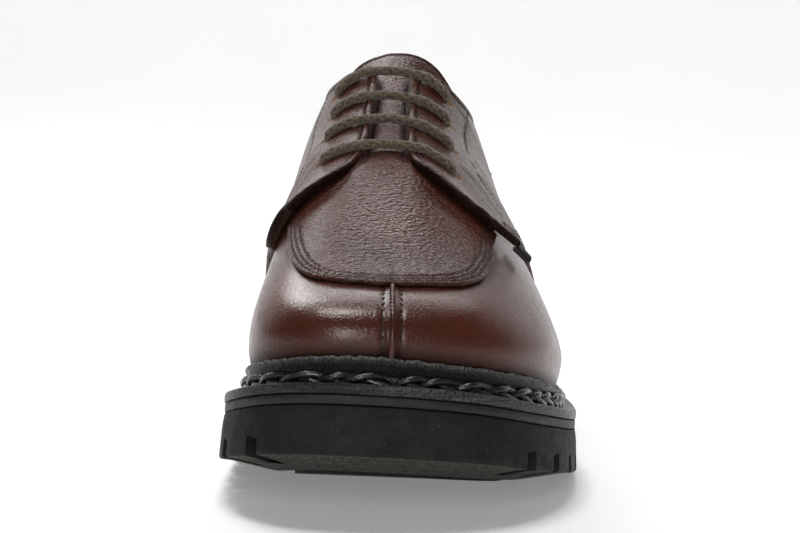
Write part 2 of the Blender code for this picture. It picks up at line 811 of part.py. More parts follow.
def make_apron(home, finish):
    side = grid_rows()
    side = side[side <= THROAT_ALONG + TINY]
    ring = np.concatenate([-side[::-1], side[1:]])
    under_quarter = smooth_step((np.abs(ring) - APRON_NARROWS_FROM) / APRON_NARROWS_OVER)
    along, up = vamp_grid(ring, APRON_CLEAR * under_quarter[:, None])
    return sheet("apron", [surface(along, up, WALL + GAP)], APRON_THICK, home, finish)


def lip_lift(sign, along, up):
    """How far the quarter stands off the vamp near its front lip."""
    tip = LIP_TIP_LATERAL if sign > 0 else LIP_TIP_MEDIAL
    shares = np.linspace(tip, 1.0, 12)
    front = front_along(shares, sign)
    throat = np.linspace(front[-1], LIP_END_ALONG, 12)
    lip_along = np.concatenate([front, throat])
    lip_up = edge_up(sign * lip_along) * np.append(shares, np.ones(len(throat)))
    strength = smooth_step((LIP_END_ALONG - lip_along) / (LIP_END_ALONG - LIP_FULL_ALONG))
    offset = last(sign * along, up)[..., None, :] - last(sign * lip_along, lip_up)
    nearness = 1 - smooth_step(np.linalg.norm(offset, axis=-1) / LIP_REACH)
    return LIP_LIFT * np.max(nearness * strength, axis=-1)


def make_quarter(name, sign, home, finish):
    side = grid_rows()
    shares = np.array(BAND_SHARES)
    front = front_along(shares, sign)
    side = side[side >= front.min() - TINY]
    side[-1] -= HEEL_SEAM_HALF
    along = np.maximum(side[:, None], front[None, :])
    up = np.maximum(edge_up(sign * along) * shares[None, :], over_welt(sign * along))
    rows = slice(None) if sign > 0 else slice(None, None, -1)
    grid = surface(sign * along, up, WALL + GAP + lip_lift(sign, along, up))[rows]
    return sheet(name, [grid], QUARTER_THICK, home, finish)


def tongue_lift(along, up):
    """The tongue's underside lies under the facings, and its top's sides flare out past them."""
    near_top = smooth_step((along - TONGUE_FLARE_FROM) / (TONGUE_END - TONGUE_FLARE_FROM))
    flare = TONGUE_FLARE * near_top * smooth_step((1 - up) / TONGUE_CROWN)
    return flare - TONGUE_GAP - TONGUE_THICK


def make_tongue(home, finish):
    below = np.linspace(TONGUE_START, TONGUE_RISE_FROM, 9)
    above = np.linspace(TONGUE_RISE_FROM, TONGUE_END, 7)[1:]
    places = np.append(below, above)
    near_top = smooth_step((places - TONGUE_RISE_FROM) / (TONGUE_END - TONGUE_RISE_FROM))
    start = TONGUE_SIDE + TONGUE_SIDE_RISE * near_top
    across = np.linspace(0, 1, 6)
    along = np.repeat(places[:, None], len(across), axis=1)
    up = start[:, None] + (1 - start[:, None]) * across[None, :]
    lift = tongue_lift(along, up)
    right = surface(along, up, lift)
    left = surface(-along, up, lift)[::-1]
    return sheet("tongue", [right, left], TONGUE_THICK, home, finish)


def make_toe_seam(home, finish):
    width = np.linspace(-TOE_SEAM_HALF, TOE_SEAM_HALF, 3)
    heights = np.linspace(over_welt(0.0) + TOE_SEAM_CLEAR, edge_up(0.0) - TOE_SEAM_CLEAR, 9)
    along, up = np.meshgrid(width, heights, indexing="ij")
    return sheet("toe_seam", [surface(along, up, WALL + GAP)], TOE_SEAM_THICK, home, finish)


def lace_side(crossing, along, up, points=5):
    """The lace's path on one facing, from the eyelet to the facing's edge."""
    lift = WALL + GAP + QUARTER_THICK + SEAT_GAP + LACE_RADIUS
    places = np.linspace(along, crossing, points)
    ups = np.linspace(up, edge_up(crossing), points)
    return surface(places, ups, lift)


def eyelet_drill(place, up):
    """A round cutter through the leather at one eyelet."""
    centre = last(place, up)
    axis = last_normal(place, up)
    along_shoe = np.cross(axis, (1.0, 0.0, 0.0))
    along_shoe = along_shoe / np.linalg.norm(along_shoe)
    across = np.cross(axis, along_shoe)
    turns = np.linspace(0, 2 * math.pi, EYELET_SIDES, endpoint=False)
    rim = EYELET_RADIUS * (np.cos(turns)[:, None] * along_shoe + np.sin(turns)[:, None] * across)
    points = np.concatenate([centre + rim - axis * CUTTER_REACH, centre + rim + axis * 3 * CUTTER_REACH])
    count = EYELET_SIDES
    faces = [tuple(range(count))[::-1], tuple(range(count, 2 * count))]
    for i in range(count):
        j = (i + 1) % count
        faces.append((i, j, count + j, count + i))
    return points, faces


def cut_eyelets(upper, quarters, cutters):
    drills = {1.0: [], -1.0: []}
    for crossing, lat_along, lat_up, med_along, med_up in EYELETS:
        drills[1.0].append(eyelet_drill(lat_along, lat_up))
        drills[-1.0].append(eyelet_drill(-med_along, med_up))
    for sign, name in ((1.0, "lateral"), (-1.0, "medial")):
        drill = cutter_object(f"eyelet_cutter_{name}", drills[sign], cutters)
        cut(quarters[sign], drill)
        cut(upper, drill)


def make_side_tag(home, finish):
    """A small plain tag that hangs out of the seam under the lateral lip's tip."""
    along, up = np.meshgrid(
        np.linspace(TAG_START, TAG_END, 3), (TAG_TOP - TAG_HANG, TAG_TOP), indexing="ij"
    )
    lift = np.broadcast_to(TAG_LIFTS, along.shape)
    return sheet("side_tag", [raised(along, up, lift)], TAG_THICK, home, finish)


def make_laces(home, finish):
    for number, (crossing, lat_along, lat_up, med_along, med_up) in enumerate(EYELETS, 1):
        lateral = lace_side(crossing, lat_along, lat_up)
        medial = lace_side(-crossing, -med_along, med_up)
        path = np.concatenate([lateral, medial[::-1]])
        curve = bpy.data.curves.new(f"lace_bar_{number}", "CURVE")
        curve.dimensions = "3D"
        curve.bevel_depth = LACE_RADIUS
        curve.bevel_resolution = 2
        curve.use_fill_caps = True
        spline = curve.splines.new("POLY")
        spline.points.add(len(path) - 1)
        for point, co in zip(spline.points, path):
            point.co = (*co, 1.0)
        curve.materials.append(material(curve.name, finish))
        home.objects.link(bpy.data.objects.new(f"lace_bar_{number}", curve))


def main():
    clear_scene()
    home = collection("derby_shoe")
    cutters = collection("derby_shoe_cutters")
    outsole = make_outsole(home, BLACK_RUBBER)
    heel = make_heel(home, BLACK_RUBBER)
    cut_tread(outsole, heel, cutters)
    make_midsole(home, BLACK_LEATHER)
    make_welt(home, BLACK_LEATHER)
    make_insole(home, TAN_LINING)
    upper = make_upper(home, BROWN_LEATHER)
    make_apron(home, BROWN_LEATHER)
    lateral = make_quarter("quarter_lateral", 1.0, home, BROWN_LEATHER)
    medial = make_quarter("quarter_medial", -1.0, home, BROWN_LEATHER)
    cut_eyelets(upper, {1.0: lateral, -1.0: medial}, cutters)
    make_tongue(home, BROWN_LEATHER)
    make_toe_seam(home, BROWN_LEATHER)
    make_side_tag(home, BLACK_TAPE)
    make_laces(home, BROWN_CORD)


main()
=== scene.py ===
"""Looks of the left derby shoe: fine leather, stitching, welt braid, rubber, laces, light and camera.

The shape tables and the surface last(along, up) are the ones the CAD was built from. Each piece here
takes the place of one CAD solid and repeats its form with finer edges, seams and grain.
"""

import math

import bmesh
import bpy
import numpy as np
from mathutils import Matrix, Vector

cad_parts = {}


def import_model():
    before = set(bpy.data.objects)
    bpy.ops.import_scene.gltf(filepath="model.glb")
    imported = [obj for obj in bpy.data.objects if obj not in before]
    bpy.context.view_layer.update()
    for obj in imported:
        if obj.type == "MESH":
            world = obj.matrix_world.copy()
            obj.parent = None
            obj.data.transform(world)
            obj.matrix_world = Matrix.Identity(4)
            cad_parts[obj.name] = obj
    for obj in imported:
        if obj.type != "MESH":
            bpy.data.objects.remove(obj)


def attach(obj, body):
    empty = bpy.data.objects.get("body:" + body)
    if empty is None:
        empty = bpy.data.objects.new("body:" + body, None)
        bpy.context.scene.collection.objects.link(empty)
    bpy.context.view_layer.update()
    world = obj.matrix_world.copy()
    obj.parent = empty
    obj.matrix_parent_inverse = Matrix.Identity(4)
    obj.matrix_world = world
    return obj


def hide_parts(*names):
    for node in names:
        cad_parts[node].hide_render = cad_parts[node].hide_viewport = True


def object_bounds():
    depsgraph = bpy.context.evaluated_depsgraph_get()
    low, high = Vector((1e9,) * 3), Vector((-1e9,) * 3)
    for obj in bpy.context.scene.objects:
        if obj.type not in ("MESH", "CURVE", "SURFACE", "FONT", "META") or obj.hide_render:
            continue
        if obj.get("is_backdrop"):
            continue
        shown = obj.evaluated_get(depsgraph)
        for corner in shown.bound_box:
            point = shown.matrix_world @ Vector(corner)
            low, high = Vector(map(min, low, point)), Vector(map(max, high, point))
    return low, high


MM = 0.001

# Wall thicknesses and clearances
WALL = 1.8 * MM
GAP = 0.4 * MM
TONGUE_THICK = 2.0 * MM
TONGUE_GAP = 0.9 * MM
SEAT_GAP = 0.3 * MM
FEATHER_LIFT = 1.9 * MM

# Layers of the bottom, from the ledge down
WELT_FLANGE = 3.0 * MM
WELT_THICK = 1.5 * MM
WELT_SPREAD = 1.2 * MM
MIDSOLE_THICK = 2.7 * MM
MIDSOLE_INSET = 0.3 * MM
INSOLE_INSET = 1.0 * MM

# The lugs of the tread
LUG_DEPTH = 4.4 * MM
LUG_GROOVE = 4.6 * MM
LUG_REACH = 10.0 * MM
LUG_END_Y = -10.0 * MM
CUTTER_REACH = 3.0 * MM
CHANNEL_INSET = 19.0 * MM
CHANNEL_END = 0.45
GROOVE_PLACES_Y = (-104.0, -84.0, -64.0, -44.0, -24.0)
GROOVE_HALF = 17.0 * MM
GROOVE_MIDDLE = -1.0 * MM
HEEL_BREAST_Y = 68.0 * MM
HEEL_GAP = 0.5 * MM
HEEL_TOP_OUT = 0.2 * MM

# Lacing: where each bar crosses the facings' edges, and the place of the eyelet at either end
EYELETS = (
    # crossing, lateral along, lateral up, medial along, medial up
    (0.490, 0.497, 0.819, 0.508, 0.742),
    (0.435, 0.443, 0.816, 0.462, 0.727),
    (0.381, 0.377, 0.822, 0.403, 0.727),
    (0.330, 0.320, 0.819, 0.344, 0.727),
)

# The widest line of the last, seen from above, and its ridge, one row for each section, in mm:
# lateral and medial points, height of the widest line above the ledge, tuck of the feather edge
# under it, ridge point, and the two handles that round the wall into the ridge.
SECTION_COLUMNS = (
    "lat_x", "lat_y", "med_x", "med_y", "bulge", "tuck", "mid_x", "top_y", "top_z",
    "lat_rise", "med_rise", "run",
)
SECTIONS = (
    (-6.6, -145.0, -6.6, -145.0, 13.0, 2.0, -6.6, -113.0, 69.0, 0.62, 0.62, 0.50),
    (18.4, -136.0, -30.1, -144.5, 13.0, 2.2, -6.6, -109.0, 71.0, 0.60, 0.63, 0.50),
    (33.9, -116.5, -42.6, -130.5, 13.5, 2.6, -6.9, -101.0, 75.5, 0.48, 0.65, 0.52),
    (42.6, -92.0, -46.0, -105.0, 14.5, 3.0, -7.8, -88.5, 83.0, 0.32, 0.68, 0.57),
    (46.6, -66.0, -45.6, -75.5, 15.0, 3.3, -9.2, -68.0, 94.0, 0.17, 0.67, 0.57),
    (47.0, -38.0, -44.6, -45.0, 16.0, 3.4, -9.4, -40.0, 106.5, 0.09, 0.62, 0.53),
    (42.4, -8.5, -42.8, -13.5, 17.0, 3.5, -8.4, -12.0, 119.5, 0.08, 0.56, 0.48),
    (35.9, 22.0, -41.1, 19.0, 18.0, 3.5, -6.8, 14.0, 134.0, 0.00, 0.40, 0.58),
    (33.2, 53.0, -39.9, 51.0, 20.0, 3.5, -5.8, 44.0, 137.0, 0.20, 0.32, 0.45),
    (32.4, 84.0, -40.1, 83.5, 22.0, 3.5, -5.1, 80.0, 137.0, 0.24, 0.24, 0.45),
    (30.9, 112.0, -39.1, 112.5, 23.0, 3.5, -4.6, 107.0, 136.0, 0.22, 0.22, 0.45),
    (21.4, 135.0, -30.6, 135.5, 24.0, 3.5, -4.6, 127.0, 135.0, 0.22, 0.22, 0.45),
    (-4.6, 148.0, -4.6, 148.0, 24.0, 3.5, -4.6, 136.5, 135.0, 0.22, 0.22, 0.45),
)
ANKLE_HALF = 26.0 * MM
RIDGE_END = 7
UP_WIDEST = 0.2
CORNER_LIFT = 0.7
NEAR_RIDGE = 0.985

# Floor profile along the shoe, in mm: underside of the rubber and top of the welt ledge
SOLE_COLUMNS = ("y", "tread", "ledge")
SOLE_PROFILE = (
    (-157.0, 21.5, 42.0),
    (-130.0, 14.5, 34.2),
    (-105.0, 9.4, 28.8),
    (-80.0, 5.0, 24.6),
    (-58.0, 1.9, 22.2),
    (-45.0, 0.4, 21.6),
    (-35.0, 0.0, 21.4),
    (-15.0, 0.0, 22.2),
    (0.0, 3.0, 23.6),
    (20.0, 9.0, 26.5),
    (45.0, 15.0, 30.5),
    (68.0, 19.5, 33.5),
    (110.0, 21.0, 36.0),
    (157.0, 22.0, 36.5),
)

# How far the welt reaches past the upper and how high it stands against it, in mm
WELT_COLUMNS = ("along", "lateral", "medial", "upstand")
WELT = (
    (0.0, 7.0, 7.0, 9.5),
    (0.15, 6.0, 6.5, 8.6),
    (0.24, 5.5, 6.3, 7.0),
    (0.35, 5.0, 6.0, 6.5),
    (0.55, 4.2, 4.5, 6.2),
    (0.75, 3.6, 3.6, 6.0),
    (1.0, 3.4, 3.4, 6.0),
)

# The edge that runs round the shoe: apron seam, quarter's front edge, throat, facing top, collar
EDGE_COLUMNS = ("along", "lateral", "medial")
EDGE = (
    (0.0, 0.738, 0.738),
    (0.05, 0.703, 0.727),
    (0.08, 0.658, 0.688),
    (0.10, 0.635, 0.652),
    (0.125, 0.631, 0.614),
    (0.155, 0.648, 0.597),
    (0.195, 0.668, 0.585),
    (0.22, 0.690, 0.581),
    (0.24, 0.745, 0.582),
    (0.25, 0.823, 0.586),
    (0.264, 0.873, 0.615),
    (0.272, 0.893, 0.694),
    (0.278, 0.903, 0.765),
    (0.288, 0.922, 0.825),
    (0.305, 0.940, 0.870),
    (0.33, 0.950, 0.907),
    (0.37, 0.948, 0.928),
    (0.475, 0.942, 0.934),
    (0.50, 0.937, 0.927),
    (0.51, 0.922, 0.898),
    (0.518, 0.882, 0.860),
    (0.526, 0.830, 0.822),
    (0.54, 0.780, 0.765),
    (0.565, 0.732, 0.714),
    (0.60, 0.688, 0.672),
    (0.64, 0.642, 0.635),
    (0.69, 0.60, 0.60),
    (0.76, 0.578, 0.578),
    (0.85, 0.60, 0.60),
    (0.93, 0.65, 0.65),
    (1.0, 0.68, 0.68),
)
THROAT_ALONG = 0.30

# The tongue: its ends along the shoe, the height of its sides, their rise near the top, and where its
# top starts to flare out past the facings
TONGUE_START, TONGUE_END = 0.262, 0.56
TONGUE_SIDE = 0.74
TONGUE_CORNER = 0.035
TONGUE_RISE_FROM = 0.50
TONGUE_FLARE_FROM = 0.532
TONGUE_ROLL = 0.25 * MM
TONGUE_OUTER, TONGUE_INNER = 0.55 * TONGUE_THICK, 0.45 * TONGUE_THICK
# Along the tongue, where the painted shadow beside the facings ends and over what length it fades
TONGUE_SHADE_END, TONGUE_SHADE_FADE = 0.52, 0.03

# The flare of the lateral and of the medial side: its reach, the height it starts from and its fade
TONGUE_FLARES = ((3.0 * MM, 1.0, 0.16), (2.0 * MM, 0.94, 0.14))

# The quarter's front edge from welt (share 0 of the edge height) to the apron seam (share 1)
FRONT_COLUMNS = ("share", "lateral", "medial")
QUARTER_FRONT = (
    (0.0, 0.500, 0.470),
    (0.30, 0.475, 0.420),
    (0.45, 0.445, 0.352),
    (0.52, 0.422, 0.308),
    (0.64, 0.362, 0.289),
    (0.73, 0.298, 0.282),
    (0.79, 0.248, 0.278),
    (0.89, 0.241, 0.272),
    (1.0, 0.236, 0.266),
)

# The quarter's front lip gapes: how far it stands off, over what reach, and where along it dies out
LIP_LIFT = 2.2 * MM
LIP_REACH = 16.0 * MM
LIP_FULL_ALONG = 0.27
LIP_END_ALONG = 0.31
LIP_TIP_LATERAL = 0.79
LIP_TIP_MEDIAL = 0.52

RING = 2.0
HEEL_SEAM_HALF = 0.0006


def column(table, columns, name):
    """One named column of a table as an array."""
    return np.array([row[columns.index(name)] for row in table], float)


def closed_spline(knots, values):
    """A curve with continuous curvature through values at knots on a ring of length RING."""
    count = len(knots)
    gap = np.diff(np.append(knots, knots[0] + RING))
    step = (np.roll(values, -1) - values) / gap
    system = np.zeros((count, count))
    for i in range(count):
        system[i, i - 1] += gap[i - 1]
        system[i, i] += 2 * (gap[i - 1] + gap[i])
        system[i, (i + 1) % count] += gap[i]
    bend = np.linalg.solve(system, 6 * (step - np.roll(step, 1)))

    def curve(along):
        turn = (np.asarray(along, float) - knots[0]) % RING + knots[0]
        i = np.clip(np.searchsorted(knots, turn, side="right") - 1, 0, count - 1)
        j = (i + 1) % count
        right = (turn - knots[i]) / gap[i]
        left = 1 - right
        bow = (left**3 - left) * bend[i] + (right**3 - right) * bend[j]
        return left * values[i] + right * values[j] + bow * gap[i] ** 2 / 6

    return curve


def steady_curve(places, values):
    """A smooth curve through values that never swings past them, so flat stretches stay flat."""
    gap = np.diff(places)
    step = np.diff(values) / gap
    slope = np.zeros(len(places))
    slope[0], slope[-1] = step[0], step[-1]
    for i in range(1, len(places) - 1):
        if step[i - 1] * step[i] > 0:
            near, far = 2 * gap[i] + gap[i - 1], gap[i] + 2 * gap[i - 1]
            slope[i] = (near + far) / (near / step[i - 1] + far / step[i])

    def curve(place):
        place = np.clip(np.asarray(place, float), places[0], places[-1])
        i = np.clip(np.searchsorted(places, place, side="right") - 1, 0, len(gap) - 1)
        t = (place - places[i]) / gap[i]
        rest = 1 - t
        ends = rest**2 * (1 + 2 * t) * values[i] + t**2 * (1 + 2 * rest) * values[i + 1]
        return ends + t * rest * gap[i] * (rest * slope[i] - t * slope[i + 1])

    return curve


def section_knots():
    """Shares of the outline's length at each section, the mean of both sides."""
    total = np.zeros(len(SECTIONS))
    for side in ("lat", "med"):
        x = column(SECTIONS, SECTION_COLUMNS, side + "_x")
        y = column(SECTIONS, SECTION_COLUMNS, side + "_y")
        total[1:] += np.cumsum(np.hypot(np.diff(x), np.diff(y)))
    return total / total[-1]


SHARES = section_knots()
RING_KNOTS = np.concatenate([-SHARES[:0:-1], SHARES[:-1]])
RIDGE_SHARE = SHARES[RIDGE_END]


def section_curve(lateral, medial, scale=MM):
    """A column on the lateral side and one on the medial side, as one curve round the shoe."""
    right = column(SECTIONS, SECTION_COLUMNS, lateral)
    left = column(SECTIONS, SECTION_COLUMNS, medial)
    return closed_spline(RING_KNOTS, np.concatenate([left[:0:-1], right[:-1]]) * scale)


wide_x = section_curve("lat_x", "med_x")
wide_y = section_curve("lat_y", "med_y")
bulge = section_curve("bulge", "bulge")
tuck = section_curve("tuck", "tuck")
mid_x = section_curve("mid_x", "mid_x")
top_y = section_curve("top_y", "top_y")
top_z = section_curve("top_z", "top_z")
rise = section_curve("lat_rise", "med_rise", 1.0)
run = section_curve("run", "run", 1.0)

sole_y = column(SOLE_PROFILE, SOLE_COLUMNS, "y") * MM
tread = steady_curve(sole_y, column(SOLE_PROFILE, SOLE_COLUMNS, "tread") * MM)
ledge = steady_curve(sole_y, column(SOLE_PROFILE, SOLE_COLUMNS, "ledge") * MM)

upstand = steady_curve(column(WELT, WELT_COLUMNS, "along"), column(WELT, WELT_COLUMNS, "upstand") * MM)


def side_curve(table, columns, scale):
    """A table's lateral and medial columns as one curve, with along below nought on the medial side."""
    places = column(table, columns, "along")
    lateral = steady_curve(places, column(table, columns, "lateral") * scale)
    medial = steady_curve(places, column(table, columns, "medial") * scale)

    def curve(along):
        along = np.asarray(along, float)
        return np.where(along >= 0, lateral(np.abs(along)), medial(np.abs(along)))

    return curve


# How far up the wall the edge lies, and how far the welt reaches past the upper
edge_up = side_curve(EDGE, EDGE_COLUMNS, 1.0)
welt_overhang = side_curve(WELT, WELT_COLUMNS, MM)

front_share = column(QUARTER_FRONT, FRONT_COLUMNS, "share")
front_lateral = steady_curve(front_share, column(QUARTER_FRONT, FRONT_COLUMNS, "lateral"))
front_medial = steady_curve(front_share, column(QUARTER_FRONT, FRONT_COLUMNS, "medial"))


def front_along(shares, sign):
    """Where the quarter of one side starts, for shares of the edge's height."""
    return front_lateral(shares) if sign > 0 else front_medial(shares)


def outward(along):
    """The level direction out of the widest line."""
    small = 1e-4
    dx = wide_x(along + small) - wide_x(along - small)
    dy = wide_y(along + small) - wide_y(along - small)
    length = np.hypot(dx, dy)
    return dy / length, -dx / length


def outline(along, reach):
    """The widest line in plan, moved out by reach."""
    out_x, out_y = outward(along)
    return wide_x(along) + out_x * reach, wide_y(along) + out_y * reach


def stack(x, y, z):
    return np.stack(np.broadcast_arrays(x, y, z), axis=-1)


def smooth_step(value):
    value = np.clip(value, 0, 1)
    return value * value * (3 - 2 * value)


def last(along, up):
    """A point of the inside of the upper."""
    along, up = np.broadcast_arrays(np.asarray(along, float), np.asarray(up, float))
    wide = stack(wide_x(along), wide_y(along), ledge(wide_y(along)) + bulge(along))
    foot_x, foot_y = outline(along, -tuck(along))
    foot = stack(foot_x, foot_y, ledge(foot_y) + FEATHER_LIFT)
    corner_z = foot[..., 2] * (1 - CORNER_LIFT) + wide[..., 2] * CORNER_LIFT
    corner = stack(wide[..., 0], wide[..., 1], corner_z)

    # Past the ridge's end the top opens into the ankle's oval
    past = np.clip((np.abs(along) - RIDGE_SHARE) / (1 - RIDGE_SHARE), 0, 1)
    half = ANKLE_HALF * smooth_step(past / 0.4) * (1 - past**4) ** 0.6 * np.sign(along)
    top = stack(mid_x(along) + half, top_y(along), top_z(along))
    upright = smooth_step(past / 0.3)[..., None]

    small = 1e-3
    inside = np.clip(np.abs(along), 0.02, 0.98)
    ahead, behind = inside + small, inside - small
    slope = (top_z(ahead) - top_z(behind)) / (top_y(ahead) - top_y(behind))
    inward = top - wide
    flat = stack(inward[..., 0], inward[..., 1], inward[..., 1] * slope)
    wall = stack(0.0, 0.0, inward[..., 2])
    lift = stack(0.0, 0.0, rise(along) * inward[..., 2])
    back = run(along)[..., None] * ((1 - upright) * flat + upright * wall)

    low = np.clip(up / UP_WIDEST, 0, 1)[..., None]
    high = np.clip((up - UP_WIDEST) / (1 - UP_WIDEST), 0, 1)[..., None]
    lower = (1 - low) ** 2 * foot + 2 * low * (1 - low) * corner + low**2 * wide
    upper = (1 - high) ** 3 * wide + 3 * high * (1 - high) ** 2 * (wide + lift)
    upper = upper + 3 * high**2 * (1 - high) * (top - back) + high**3 * top
    return np.where((up < UP_WIDEST)[..., None], lower, upper)


def last_normal(along, up):
    """The outward normal of last, shared by both sides on the ridge."""
    along, up = np.broadcast_arrays(np.asarray(along, float), np.asarray(up, float))
    small = 1e-4
    on_ridge = ((up > 1 - small) & (np.abs(along) < RIDGE_SHARE))[..., None]
    near = np.minimum(up, NEAR_RIDGE)
    low, high = np.clip(near - small, 0, 1), near + small

    def raw(place):
        round_shoe = last(place + small, near) - last(place - small, near)
        normal = np.cross(round_shoe, last(place, high) - last(place, low))
        return normal / np.linalg.norm(normal, axis=-1, keepdims=True)

    normal = raw(along)
    both = normal + raw(-along)
    return np.where(on_ridge, both / np.linalg.norm(both, axis=-1, keepdims=True), normal)


def raised(along, up, lift):
    """A point over the last by lift."""
    return last(along, up) + last_normal(along, up) * np.asarray(lift, float)[..., None]


def up_at_height(along, height):
    """The share of the wall that lies this far above the ledge."""
    shares = np.linspace(0, UP_WIDEST * 1.5, 60)
    found = []
    for place, rise_here in zip(*np.broadcast_arrays(along, height)):
        z = last(place, shares)[:, 2] - ledge(wide_y(place))
        found.append(np.interp(rise_here, z, shares))
    return np.array(found)


def lip_lift(sign, along, up):
    """How far the quarter stands off the vamp near its front lip."""
    tip = LIP_TIP_LATERAL if sign > 0 else LIP_TIP_MEDIAL
    shares = np.linspace(tip, 1.0, 12)
    front = front_along(shares, sign)
    throat = np.linspace(front[-1], LIP_END_ALONG, 12)
    lip_along = np.concatenate([front, throat])
    lip_up = edge_up(sign * lip_along) * np.append(shares, np.ones(len(throat)))
    strength = smooth_step((LIP_END_ALONG - lip_along) / (LIP_END_ALONG - LIP_FULL_ALONG))
    offset = last(sign * along, up)[..., None, :] - last(sign * lip_along, lip_up)
    nearness = 1 - smooth_step(np.linalg.norm(offset, axis=-1) / LIP_REACH)
    return LIP_LIFT * np.max(nearness * strength, axis=-1)


# Camera that matches the photograph, in metres and radians, for an image 800 pixels wide
CAMERA_PLACE = (-0.0130, -0.7253, 0.1280)
CAMERA_YAW = 0.0140
CAMERA_PITCH = -0.0948
CAMERA_ROLL = 0.0432
FOCAL_PIXELS = 2112.65
IMAGE_WIDTH = 800
SENSOR_WIDTH = 36.0

# Section of a leather edge: inset from the edge in mm and share of the full thickness there
EDGE_PROFILE = ((0.0, 0.0), (0.0, 0.35), (0.02, 0.68), (0.16, 0.88), (0.42, 0.98), (0.7, 1.0))
STRIP_STEP = 0.28
STRIP_WIDTH = 6.4
STEEPEST = 2.4

# Rows of stitches: insets from the edge in mm, and in metres for the quarter's front seam
APRON_ROWS = (1.5, 2.9, 4.5)
FACING_ROWS = (2.3,)
TONGUE_ROW = 1.4
FRONT_ROW = 2.3 * MM

# The stitches, the leans of the toe's, and the dip that a row pulls into the leather, its width in mm
STITCH_PITCH = 2.3 * MM
STITCH_LENGTH = 1.5 * MM
TOE_STITCH_PITCH = 3.0 * MM
TOE_LOW_LEAN, TOE_HIGH_LEAN = 0.15, 0.55
STITCH_RADIUS = 0.31 * MM
GROOVE_DEPTH = 0.34 * MM
GROOVE_WIDTH = 0.42

# How far the stitches' middle lies over the leather there
APRON_THREAD = 0.02 * MM
FACING_THREAD = -0.12 * MM
SEAM_THREAD = -0.15 * MM
FRONT_THREAD = 0.02 * MM
TONGUE_THREAD = 0.05 * MM
TOE_THREAD = 0.08 * MM

# The facing's outer stitch line, from the collar down to the quarter's front edge
SEAM_LATERAL = (
    (0.545, 0.745), (0.500, 0.750), (0.456, 0.757), (0.420, 0.760), (0.391, 0.752),
    (0.371, 0.728), (0.360, 0.704), (0.348, 0.680), (0.323, 0.666), (0.296, 0.660),
)
SEAM_MEDIAL = (
    (0.553, 0.700), (0.517, 0.632), (0.463, 0.621), (0.426, 0.611), (0.395, 0.590),
    (0.365, 0.560), (0.335, 0.550), (0.310, 0.560),
)

# Share of the wall where the quarter's front seam begins, for each side, and where it ends
FRONT_SEAM_TOP = {1.0: 0.62, -1.0: 0.50}
FRONT_SEAM_END = 0.14

# Main creases of the quarters: side, points as along and up, depth and width in mm
CREASES = (
    (-1.0, ((0.352, 0.70), (0.336, 0.62), (0.318, 0.55)), 0.30, 2.0),
    (-1.0, ((0.376, 0.68), (0.354, 0.59), (0.332, 0.49)), 0.35, 2.6),
    (-1.0, ((0.408, 0.66), (0.388, 0.55), (0.362, 0.44)), 0.35, 3.2),
    (1.0, ((0.350, 0.79), (0.334, 0.73), (0.312, 0.67)), 0.28, 1.8),
    (1.0, ((0.378, 0.73), (0.356, 0.65), (0.336, 0.57)), 0.35, 2.6),
    (1.0, ((0.420, 0.72), (0.396, 0.62), (0.366, 0.52)), 0.35, 3.2),
)

# Leather thicknesses as seen, and the relief at edges and seams
UNDER = 0.10 * MM
APRON_FULL = 1.55 * MM
APRON_CROWN = 0.40 * MM
APRON_CROWN_REACH = 5.0
APRON_TAIL_FROM = 0.215
APRON_UNDERLAP = 0.16
APRON_TUCK = 0.012
APRON_END = 0.327
APRON_END_FINE = 0.006
APRON_END_ROUND = 1.6
# Reach in mm of the painted shadow over the apron's top end
APRON_END_SHADE = 5.0
APRON_END_LEFT = 0.25
APRON_SEAM_END = 0.268
QUARTER_FULL = 2.3 * MM
QUARTER_FOOT = 3.0 * MM
QUARTER_FREE_FROM, QUARTER_FREE_REACH = -2.0 * MM, 3.5 * MM
LIP_GAPE = 1.8
# Painted shade along the lip where it gapes: the gape at which it is full, and its width in mm
LIP_SHADE_FULL = 3.0 * MM
LIP_SHADE_WIDTH = 1.8
ROLL_RISE = 0.40 * MM
ROLL_MIDDLE, ROLL_WIDTH = 1.0, 0.8
FAR_INSET = 99.0
SEAM_RIDGE = 1.7 * MM
SEAM_SIDE = 2.6 * MM
SEAM_SWELL = 0.45 * MM
SEAM_DIP = 0.25 * MM
SEAM_DIP_WIDTH = 0.7 * MM
BEAD_HALF = 0.85 * MM
BEAD_LIFT = 0.55 * MM
BEAD_TWIST = 1.7 * MM
BEAD_TWIST_DEPTH = 0.25 * MM
BEAD_FOOT = 2.0 * MM
BEAD_HEAD_GAP = 0.002
BEAD_ROWS = 200
BEAD_SIDES = 20
TOE_NEAR = 0.1

# Painted shade, as its strength and its reach: the skirt's over the welt, the painted shadow under the apron's
# edge, the skirt's at the toe seam, the quarter's over the welt, and the painted shadow on the tongue beside
# the facings
WELT_PAINTED_SHADE = (0.75, 3.0 * MM)
APRON_EDGE_PAINTED_SHADOW = (0.45, 1.5 * MM)
TOE_SEAM_PAINTED_SHADE = (0.35, 3.0 * MM)
QUARTER_WELT_PAINTED_SHADE = (0.7, 3.0 * MM)
TONGUE_PAINTED_SHADOW = (0.95, 1.7 * MM)

# Lace: its path from the eyelet to the facing's edge, as share of the way and lift in radii
LACE_CLIMB = ((0.09, -1.6), (0.12, 0.0), (0.20, 0.8), (0.34, 1.05), (0.55, 1.1), (0.80, 1.15))
LACE_MIDDLE_LIFT = 0.3 * MM
LACE_WEAVE = 3.4 * MM
LACE_RELIEF = 0.16 * MM
LACE_SIDES = 32
LACE_STEPS = 420
LACE_STRANDS = 5
LACE_LEAN = np.array((0.0, -0.6, 0.8))
# How dark the painted shade between the lace's strands gets
LACE_GAP_SHADE = 0.55
CORD_RADIUS = 1.45 * MM
HOLE_RADIUS = 1.75 * MM
DRILL_SIDES = 20
DRILL_SPAN = np.array((-4.0, 8.0)) * MM
DRILL_SIDE = np.array((0.3, 1.0, 0.2))

